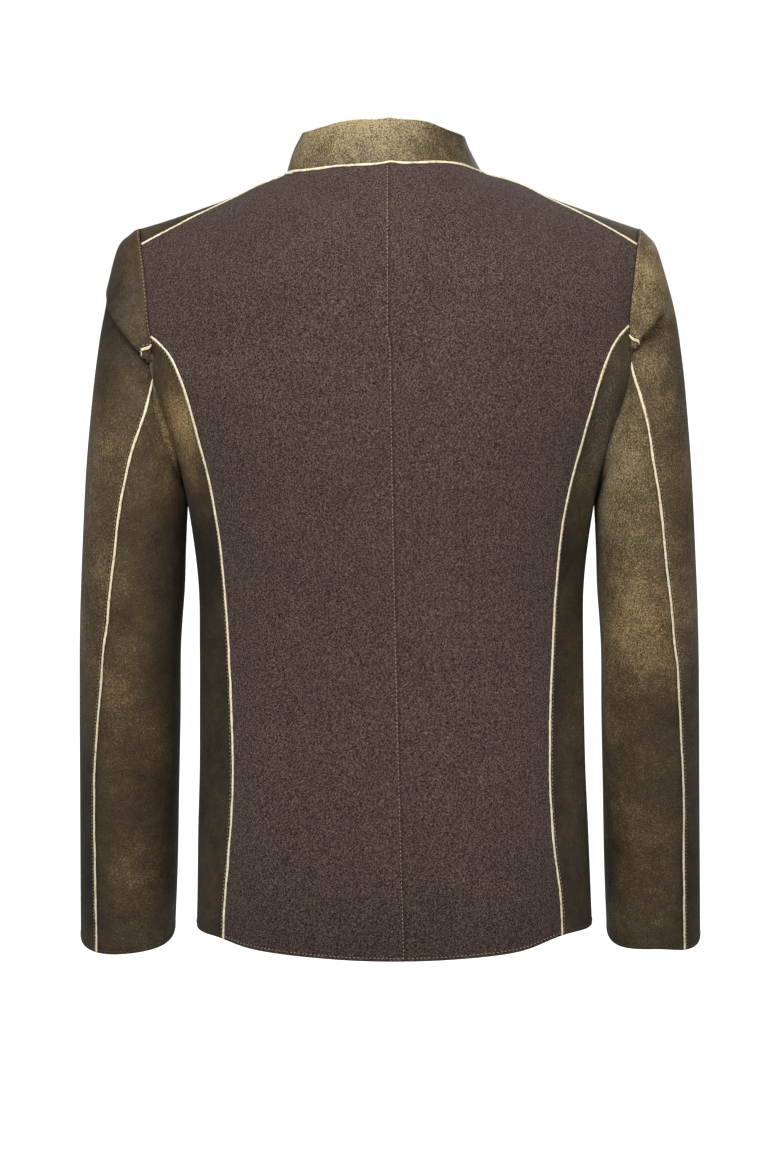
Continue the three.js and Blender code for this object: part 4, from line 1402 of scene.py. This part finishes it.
# Where the wax has rubbed golden or stayed dark, and painted shade along the sleeves' outer edges.
# x, z: the middle in the back view; facing: 1 for what faces back, -1 for the front; reach_x,
# reach_z: how far it spreads; gold: how golden, or how much lighter the wool is; warmth: how
# warm, or how cool below zero.
PATCH_COLUMNS = "x z facing reach_x reach_z gold warmth"
PATCHES = table(
    PATCH_COLUMNS,
    [
        (262, -95, 1, 30, 45, -0.19, -0.3),
        (228, -128, 1, 16, 16, 0.05, 0.0),
        (262, -168, 1, 26, 30, -0.08, 0.0),
        (262, -230, 1, 30, 60, 0.08, 0.2),
        (205, -285, 1, 20, 60, -0.06, 0.0),
        (268, -330, 1, 26, 70, 0.1, 0.2),
        (226, -230, 1, 20, 50, 0.05, 0.2),
        (240, -560, 1, 40, 90, 0.05, 0.0),
        # Painted shade at the sleeve's outer edge
        (294, -600, 1, 12, 120, -0.08, 0.0),
        (246, -455, 1, 26, 42, 0.12, 0.6),
        (288, -400, 1, 16, 50, 0.08, 0.2),
        (215, -420, 1, 24, 60, -0.08, 0.0),
        # Painted shade at the sleeve's outer edge
        (286, -620, 1, 16, 120, -0.22, 0.0),
        (236, -560, 1, 28, 46, -0.06, 0.3),
        (246, -640, 1, 36, 46, 0.05, 0.2),
        (190, -205, 1, 20, 42, 0.42, 0.8),
        (182, -262, 1, 18, 40, 0.24, 0.4),
        (180, -340, 1, 26, 50, -0.14, 0.0),
        (176, -480, 1, 24, 70, 0.02, 0.2),
        (176, -640, 1, 24, 50, 0.03, 0.3),
        (-238, -80, 1, 40, 56, 0.26, 0.4),
        (-225, -150, 1, 26, 26, 0.1, 0.0),
        (-250, -185, 1, 34, 40, 0.02, 0.2),
        (-216, -226, 1, 26, 50, 0.14, 0.1),
        (-276, -230, 1, 20, 80, 0.1, 0.0),
        (-276, -370, 1, 20, 80, 0.06, 0.0),
        (-240, -440, 1, 50, 40, 0.02, 0.1),
        (-272, -240, 1, 22, 60, 0.06, 0.1),
        (-220, -300, 1, 28, 44, 0.15, 0.1),
        (-184, -290, 1, 26, 90, 0.12, -0.2),
        (-180, -480, 1, 26, 170, 0.13, -0.1),
        (-226, -392, 1, 34, 48, 0.26, 0.6),
        (-268, -400, 1, 20, 60, 0.08, 0.1),
        (-214, -470, 1, 26, 40, 0.04, 0.1),
        (-238, -590, 1, 34, 36, 0.1, 0.1),
        (-230, -660, 1, 34, 34, 0.05, 0.1),
        # Painted shade at the sleeve's outer edge
        (-284, -640, 1, 16, 80, -0.14, 0.0),
        (-192, -196, 1, 14, 60, 0.16, -1.2),
        (-184, -265, 1, 18, 46, 0.14, 0.0),
        (-182, -345, 1, 24, 46, -0.09, 0.1),
        (-178, -500, 1, 24, 80, 0.13, 0.2),
        (-178, -650, 1, 24, 40, 0.05, 0.3),
        (90, -260, -1, 70, 80, 0.2, 0.2),
        (-110, -230, -1, 60, 70, 0.24, 0.2),
        (130, -520, -1, 60, 90, 0.1, 0.4),
        (-80, -560, -1, 70, 80, 0.12, 0.3),
        (250, -200, -1, 34, 60, 0.24, 0.2),
        (-250, -220, -1, 34, 70, 0.26, 0.2),
        (246, -430, -1, 30, 60, 0.18, 0.5),
        (-246, -450, -1, 30, 60, 0.2, 0.4),
        (150, -60, -1, 60, 40, 0.18, 0.1),
        (-150, -60, -1, 60, 40, 0.24, 0.1),
    ],
)
# Painted shade and light on the wool: darker towards the hem, at the left yoke and down the left
# half, a little lighter on the right
WOOL_PATCHES = table(
    PATCH_COLUMNS,
    [
        (150, -60, 1, 90, 90, -0.14, 0),
        (0, -705, 1, 500, 80, -0.2, 0),
        (110, -560, 1, 90, 200, -0.08, 0),
        (150, -300, 1, 60, 130, -0.08, 0),
        (-60, -330, 1, 90, 160, 0.05, 0),
    ],
)
COLLAR_PATCHES = table(
    PATCH_COLUMNS,
    [
        (5, 70, 1, 46, 30, 0.36, 0.0),
        (62, 60, 1, 26, 30, 0.26, 0.0),
        (-60, 60, 1, 26, 30, -0.12, 0.1),
        (0, 0, -1, 60, 60, 0.2, 0.0),
    ],
)


def leather_finish(context):
    return (
        finish_named("Waxed sheepskin", context.scene),
        finish_named("Sheepskin flesh side", context.scene),
    )


def add_leather(context, name, base, edges, rests_on, patches=PATCHES):
    pieces = cut_pieces(context.scene.jacket_cloth.cell)
    cloth = pieces[name]
    attributes = patch_tones_of(cloth.points, cloth.normals, base, patches)
    # The seam attribute holds painted shade along the seams and in the drag folds' creases
    attributes["seam"] = np.maximum(seam_shade(cloth, edges), cloth.crease_shade)
    wall = context.scene.jacket_cloth.leather_wall
    slot = "collar_leather" if name == "collar" else "leather"
    sewn_cloth(
        name + "_skin", cloth, wall, *leather_finish(context), slot, [name], rests_on, attributes
    )


class JACKET_OT_back(Operator):
    """Cuts the two halves of the wool back"""

    bl_idname = "jacket.back"
    bl_label = "Wool back"

    def execute(self, context):
        pieces = cut_pieces(context.scene.jacket_cloth.cell)
        wool = finish_named("Milled melange wool", context.scene)
        for name in SIDES:
            cloth = pieces[f"back_{name}"].turned_in(["first"], reach=1.6, depth=0.4)
            attributes = patch_tones_of(cloth.points, cloth.normals, WEAR["back"], WOOL_PATCHES)
            # Painted shade along the centre back seam
            attributes["seam"] = 0.45 * seam_shade(cloth, ["first"], 0.9)
            sewn_cloth(
                f"back_{name}_wool",
                cloth,
                context.scene.jacket_cloth.wool_wall,
                wool,
                wool,
                "wool",
                [f"back_{name}"],
                [f"front_{name}"],
                attributes,
            )
        return {"FINISHED"}


class JACKET_OT_sides(Operator):
    """Cuts the leather side panels"""

    bl_idname = "jacket.sides"
    bl_label = "Side panels"

    def execute(self, context):
        for name in SIDES:
            add_leather(context, f"side_{name}", WEAR["side"], ["first", "last"], [f"back_{name}"])
        return {"FINISHED"}


class JACKET_OT_fronts(Operator):
    """Cuts the leather fronts, the left one lapped over the right"""

    bl_idname = "jacket.fronts"
    bl_label = "Fronts"

    def execute(self, context):
        for name in SIDES:
            add_leather(context, f"front_{name}", WEAR["front"], ["last", "top"], [f"back_{name}"])
        return {"FINISHED"}


class JACKET_OT_sleeves(Operator):
    """Cuts the two-piece leather sleeves with their drag folds"""

    bl_idname = "jacket.sleeves"
    bl_label = "Sleeves"

    def execute(self, context):
        for name in SIDES:
            for part in ("top", "under"):
                add_leather(
                    context,
                    f"sleeve_{part}_{name}",
                    WEAR["sleeve"],
                    ["first", "last"],
                    [f"back_{name}", f"front_{name}"],
                )
        return {"FINISHED"}


# The pale raw edge along the collar's top: width, height and lift, in millimetres
COLLAR_EDGE = (1.7, 0.9, -0.2)
COLLAR_EDGE_SEED = 41
# How far apart a welt's rings are, and how far it stands off the cloth, in millimetres
WELT_CELL = 1.2
WELT_LIFT = -0.1


class JACKET_OT_collar(Operator):
    """Cuts the stand collar, with its pale raw top edge"""

    bl_idname = "jacket.collar"
    bl_label = "Collar"

    def execute(self, context):
        backs = [f"back_{name}" for name in SIDES]
        add_leather(context, "collar", WEAR["collar"], ["hem"], backs, COLLAR_PATCHES)
        sewing = context.scene.jacket_sewing
        top = PIECES["collar"].line("top", 0.0)
        half_wall = context.scene.jacket_cloth.leather_wall / 2
        line = evened((top[0] - top[1] * half_wall, top[1] * 0 + (0, 0, 1)), WELT_CELL, 1, 1)
        mesh = welt_mesh("collar_raw_edge", line, sewing, COLLAR_EDGE_SEED, *COLLAR_EDGE)
        edge = new_object("collar_raw_edge", mesh)
        mesh.materials.append(finish_named("Raw-cut cream edge", context.scene))
        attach(edge, ROOT)
        return {"FINISHED"}


def seam_lines():
    """The lines that carry the raw-edged welts, and how far each stops short of its ends."""
    lines = {}
    for name in SIDES:
        back = PIECES[f"back_{name}"]
        under = PIECES[f"sleeve_under_{name}"]
        side = PIECES[f"side_{name}"]
        points, normals = back.points, back.normals
        neck = int(np.argmin(np.abs(points[-1, :, 0] - SIDES[name] * neck_point_x(SIDES[name]))))
        lines[f"welt_back_{name}"] = ([v[:, 0] for v in (side.points, side.normals)], 0.6, 1.5)
        lines[f"welt_shoulder_{name}"] = ([points[-1, neck:], normals[-1, neck:]], 2.5, 0.6)
        lines[f"welt_sleeve_{name}"] = (
            [v[:, 0] for v in (under.points, under.normals)],
            0.6,
            1.5,
        )
    lines["welt_collar"] = (PIECES["collar"].line("hem", 1.3), 1, 18)
    return lines


class JACKET_OT_welts(Operator):
    """Lays the cream raw edges along the seams"""

    bl_idname = "jacket.welts"
    bl_label = "Raw-edged welts"

    def execute(self, context):
        sewing = context.scene.jacket_sewing
        cream = finish_named("Raw-cut cream edge", context.scene)
        for seed, (name, (line, start, end)) in enumerate(seam_lines().items()):
            placed = evened(line, WELT_CELL, start, end)
            shape = (sewing.welt_width, sewing.welt_height, WELT_LIFT)
            mesh = welt_mesh(name + "_edge", placed, sewing, seed, *shape)
            piece = new_object(name + "_edge", mesh)
            mesh.materials.append(cream)
            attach(piece, ROOT)
            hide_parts(name)
        return {"FINISHED"}


# How far each row of stitches lies from its edge, in millimetres, and the seeds of their skew
CENTRE_INSET = 2.0
ARMHOLE_INSET = 1.8
SEAM_INSET = 3.1
FRONT_INSET = 5.0
HEM_INSET = 3.0
STITCH_SEEDS = {"centre": 11, "seams": 12, "hems": 13}


def back_of(line):
    """The part of a row of stitches that lies behind the side line."""
    behind = line[0][:, 1] > SIDE_Y
    return [values[behind] for values in line]


class JACKET_OT_stitching(Operator):
    """Sews the rows of stitches beside the seams and along the edges"""

    bl_idname = "jacket.stitching"
    bl_label = "Stitching"

    def execute(self, context):
        sewing = context.scene.jacket_sewing
        pale = finish_named("Linen thread", context.scene)
        dark = finish_named("Dark waxed thread", context.scene)

        def row(name, edge, inset, start=3.0, end=3.0):
            return evened(PIECES[name].line(edge, inset), sewing.pitch, start, end)

        stitched_rows(
            "centre_back_stitches",
            [row("back_left", "first", CENTRE_INSET)],
            sewing,
            pale,
            STITCH_SEEDS["centre"],
        )
        beside_seams = []
        hems = []
        for name in SIDES:
            beside_seams += [
                row(f"side_{name}", "first", SEAM_INSET),
                row(f"sleeve_top_{name}", "last", SEAM_INSET),
                back_of(row(f"sleeve_top_{name}", "top", ARMHOLE_INSET)),
                row(f"side_{name}", "last", SEAM_INSET),
                row(f"front_{name}", "first", FRONT_INSET),
                row(f"back_{name}", "hem", HEM_INSET),
            ]
            hems += [
                row(f"{part}_{name}", "hem", HEM_INSET)
                for part in ("side", "front", "sleeve_top", "sleeve_under")
            ]
        for name, rows, thread, seed in (
            ("seam_stitches", beside_seams, pale, "seams"),
            ("hem_stitches", hems, dark, "hems"),
        ):
            stitched_rows(name, rows, sewing, thread, STITCH_SEEDS[seed])
        return {"FINISHED"}


# Radius and height of a button from the middle of its back round to the middle of its face
BUTTON_PROFILE = [
    (0, 0),
    (9, 0),
    (10, 1.2),
    (10, 3.2),
    (9.6, 4),
    (8.8, 4.2),
    (7.6, 3.5),
    (6.8, 2.9),
    (0, 2.7),
]
BUTTON_MIDDLE = 2.1
BUTTON_STEPS = 48
# Half the length and the thickness of the two threads that cross on the face, and their height
THREAD_BAR = (3.2, 0.6)
THREAD_HEIGHT = 3


class JACKET_OT_buttons(Operator):
    """Turns the horn buttons and sews them on"""

    bl_idname = "jacket.buttons"
    bl_label = "Buttons"

    def execute(self, context):
        horn = finish_named("Polished horn", context.scene)
        thread = finish_named("Dark waxed thread", context.scene)
        for k in range(BUTTON_COUNT):
            node = f"button_{k + 1}"
            low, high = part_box(node)
            centre = (low + high) / 2
            z = BUTTON_TOP_Z - k * BUTTON_PITCH
            out = Vector((0, -1, 0))
            if z >= CHEST_Z:
                near = [yoke_point(0, TOP_BUTTON_TURN + turn, 1) for turn in (-1, 1)]
                along = near[0] - near[1]
                out = Vector((0, -along[2], along[1])).normalized()
            turn = Vector((0, 0, 1)).rotation_difference(out).to_matrix().to_4x4()
            base = Matrix.Translation(centre) @ turn @ Matrix.Translation((0, 0, -BUTTON_MIDDLE * MM))
            bm = bmesh.new()
            ring = [bm.verts.new((r * MM, 0, h * MM)) for r, h in BUTTON_PROFILE]
            edges = [bm.edges.new(pair) for pair in zip(ring, ring[1:])]
            bmesh.ops.spin(
                bm,
                geom=[*ring, *edges],
                cent=(0, 0, 0),
                axis=(0, 0, 1),
                angle=2 * math.pi,
                steps=BUTTON_STEPS,
                use_merge=True,
            )
            bmesh.ops.remove_doubles(bm, verts=bm.verts, dist=1e-6)
            bmesh.ops.recalc_face_normals(bm, faces=bm.faces)
            for face in bm.faces:
                face.smooth = True
            first_thread = len(bm.faces)
            for lean in (45, -45):
                half, thick = (size * MM for size in THREAD_BAR)
                bar = Matrix.Rotation(math.radians(lean), 4, "Z") @ Matrix.Diagonal(
                    (half, thick, thick, 1)
                )
                raised = Matrix.Translation((0, 0, THREAD_HEIGHT * MM))
                bmesh.ops.create_icosphere(bm, subdivisions=2, radius=1, matrix=raised @ bar)
            bm.faces.ensure_lookup_table()
            for face in bm.faces[first_thread:]:
                face.material_index = 1
                face.smooth = True
            bmesh.ops.transform(bm, matrix=base, verts=bm.verts)
            mesh = bpy.data.meshes.new(node + "_horn")
            bm.to_mesh(mesh)
            bm.free()
            piece = new_object(node + "_horn", mesh)
            mesh.materials.append(horn)
            mesh.materials.append(thread)
            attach(piece, ROOT)
            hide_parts(node)
        return {"FINISHED"}


FLOOR_HALF = 20
# The point that every lamp faces
AIM = (0, 0, -0.2)
# Soft round lamps: where each stands and how wide it is, in metres
LAMPS = {
    "Key": ((0.6, 1.75, 1.15), 1.1),
    "Fill": ((-1.5, 1.9, 0.7), 1.4),
    "Front": ((-0.9, -2.4, 0.9), 1.4),
}
CAMERA = {"y": 2.82, "z": 0.05, "pitch": 8.43, "focal_px": 3086, "picture_height": 1175}
SENSOR = 36


class JACKET_OT_stage(Operator):
    """Sets the pale floor, the soft lights and the camera"""

    bl_idname = "jacket.stage"
    bl_label = "Stage"

    def execute(self, context):
        scene = context.scene
        props = scene.jacket_stage
        scene.view_settings.view_transform = "Standard"
        bm = bmesh.new()
        bmesh.ops.create_grid(bm, x_segments=2, y_segments=2, size=FLOOR_HALF)
        bmesh.ops.translate(bm, vec=(0, 0, props.floor), verts=bm.verts)
        mesh = bpy.data.meshes.new("floor")
        bm.to_mesh(mesh)
        bm.free()
        floor = new_object("floor", mesh)
        material, tree = blank_material("Pale floor")
        shader = add(
            tree,
            "ShaderNodeBsdfPrincipled",
            {
                "Base Color": (0.9, 0.9, 0.9, 1),
                "Roughness": 0.9,
                "Specular IOR Level": 0.1,
                "Emission Color": (1, 1, 1, 1),
                "Emission Strength": 1.0,
            },
        )
        add(tree, "ShaderNodeOutputMaterial", Surface=shader.outputs["BSDF"])
        mesh.materials.append(material)
        floor.visible_diffuse = False
        floor.visible_glossy = False
        world = bpy.data.worlds.new("Surround")
        world.use_nodes = True
        tree = world.node_tree
        tree.nodes.clear()
        seen = add(tree, "ShaderNodeBackground", {"Color": (1, 1, 1, 1), "Strength": 1.0})
        soft = add(tree, "ShaderNodeBackground", {"Color": (1, 1, 1, 1), "Strength": props.world})
        rays = add(tree, "ShaderNodeLightPath")
        both = add(
            tree,
            "ShaderNodeMixShader",
            i0=rays.outputs["Is Camera Ray"],
            i1=soft.outputs["Background"],
            i2=seen.outputs["Background"],
        )
        add(tree, "ShaderNodeOutputWorld", Surface=both.outputs["Shader"])
        scene.world = world
        for name, (place, size) in LAMPS.items():
            lamp = bpy.data.lights.new(name, "AREA")
            lamp.shape = "DISK"
            lamp.size = size
            lamp.energy = getattr(props, name.lower())
            holder = bpy.data.objects.new(name, lamp)
            scene.collection.objects.link(holder)
            holder.location = place
            holder.visible_camera = False
            aim = Vector(AIM) - Vector(place)
            holder.rotation_euler = aim.to_track_quat("-Z", "Y").to_euler()
        lens = bpy.data.cameras.new("Camera")
        lens.sensor_fit = "VERTICAL"
        lens.sensor_height = SENSOR
        lens.lens = CAMERA["focal_px"] / CAMERA["picture_height"] * SENSOR
        lens.clip_end = 100
        camera = bpy.data.objects.new("Camera", lens)
        scene.collection.objects.link(camera)
        camera.location = (0, CAMERA["y"], CAMERA["z"])
        camera.rotation_euler = (math.radians(90 - CAMERA["pitch"]), 0, math.pi)
        scene.camera = camera
        return {"FINISHED"}


OPERATORS = (
    JACKET_OT_stage,
    JACKET_OT_back,
    JACKET_OT_sides,
    JACKET_OT_fronts,
    JACKET_OT_sleeves,
    JACKET_OT_collar,
    JACKET_OT_welts,
    JACKET_OT_stitching,
    JACKET_OT_buttons,
)
GROUPS = {
    "jacket_cloth": JacketCloth,
    "jacket_sewing": JacketSewing,
    "jacket_finish": JacketFinish,
    "jacket_stage": JacketStage,
}


class JACKET_PT_panel(Panel):
    bl_idname = "JACKET_PT_panel"
    bl_label = "Jacket"
    bl_space_type = "VIEW_3D"
    bl_region_type = "UI"
    bl_category = "Jacket"

    def draw(self, context):
        for operator in OPERATORS:
            self.layout.operator(operator.bl_idname)


def register():
    for cls in (*GROUPS.values(), *OPERATORS, JACKET_PT_panel):
        bpy.utils.register_class(cls)
    for name, group in GROUPS.items():
        setattr(bpy.types.Scene, name, PointerProperty(type=group))


def unregister():
    for name in GROUPS:
        delattr(bpy.types.Scene, name)
    for cls in reversed((*GROUPS.values(), *OPERATORS, JACKET_PT_panel)):
        bpy.utils.unregister_class(cls)


def main():
    register()
    for operator in OPERATORS:
        group, call = operator.bl_idname.split(".")
        getattr(getattr(bpy.ops, group), call)()


if __name__ == "__main__":
    main()
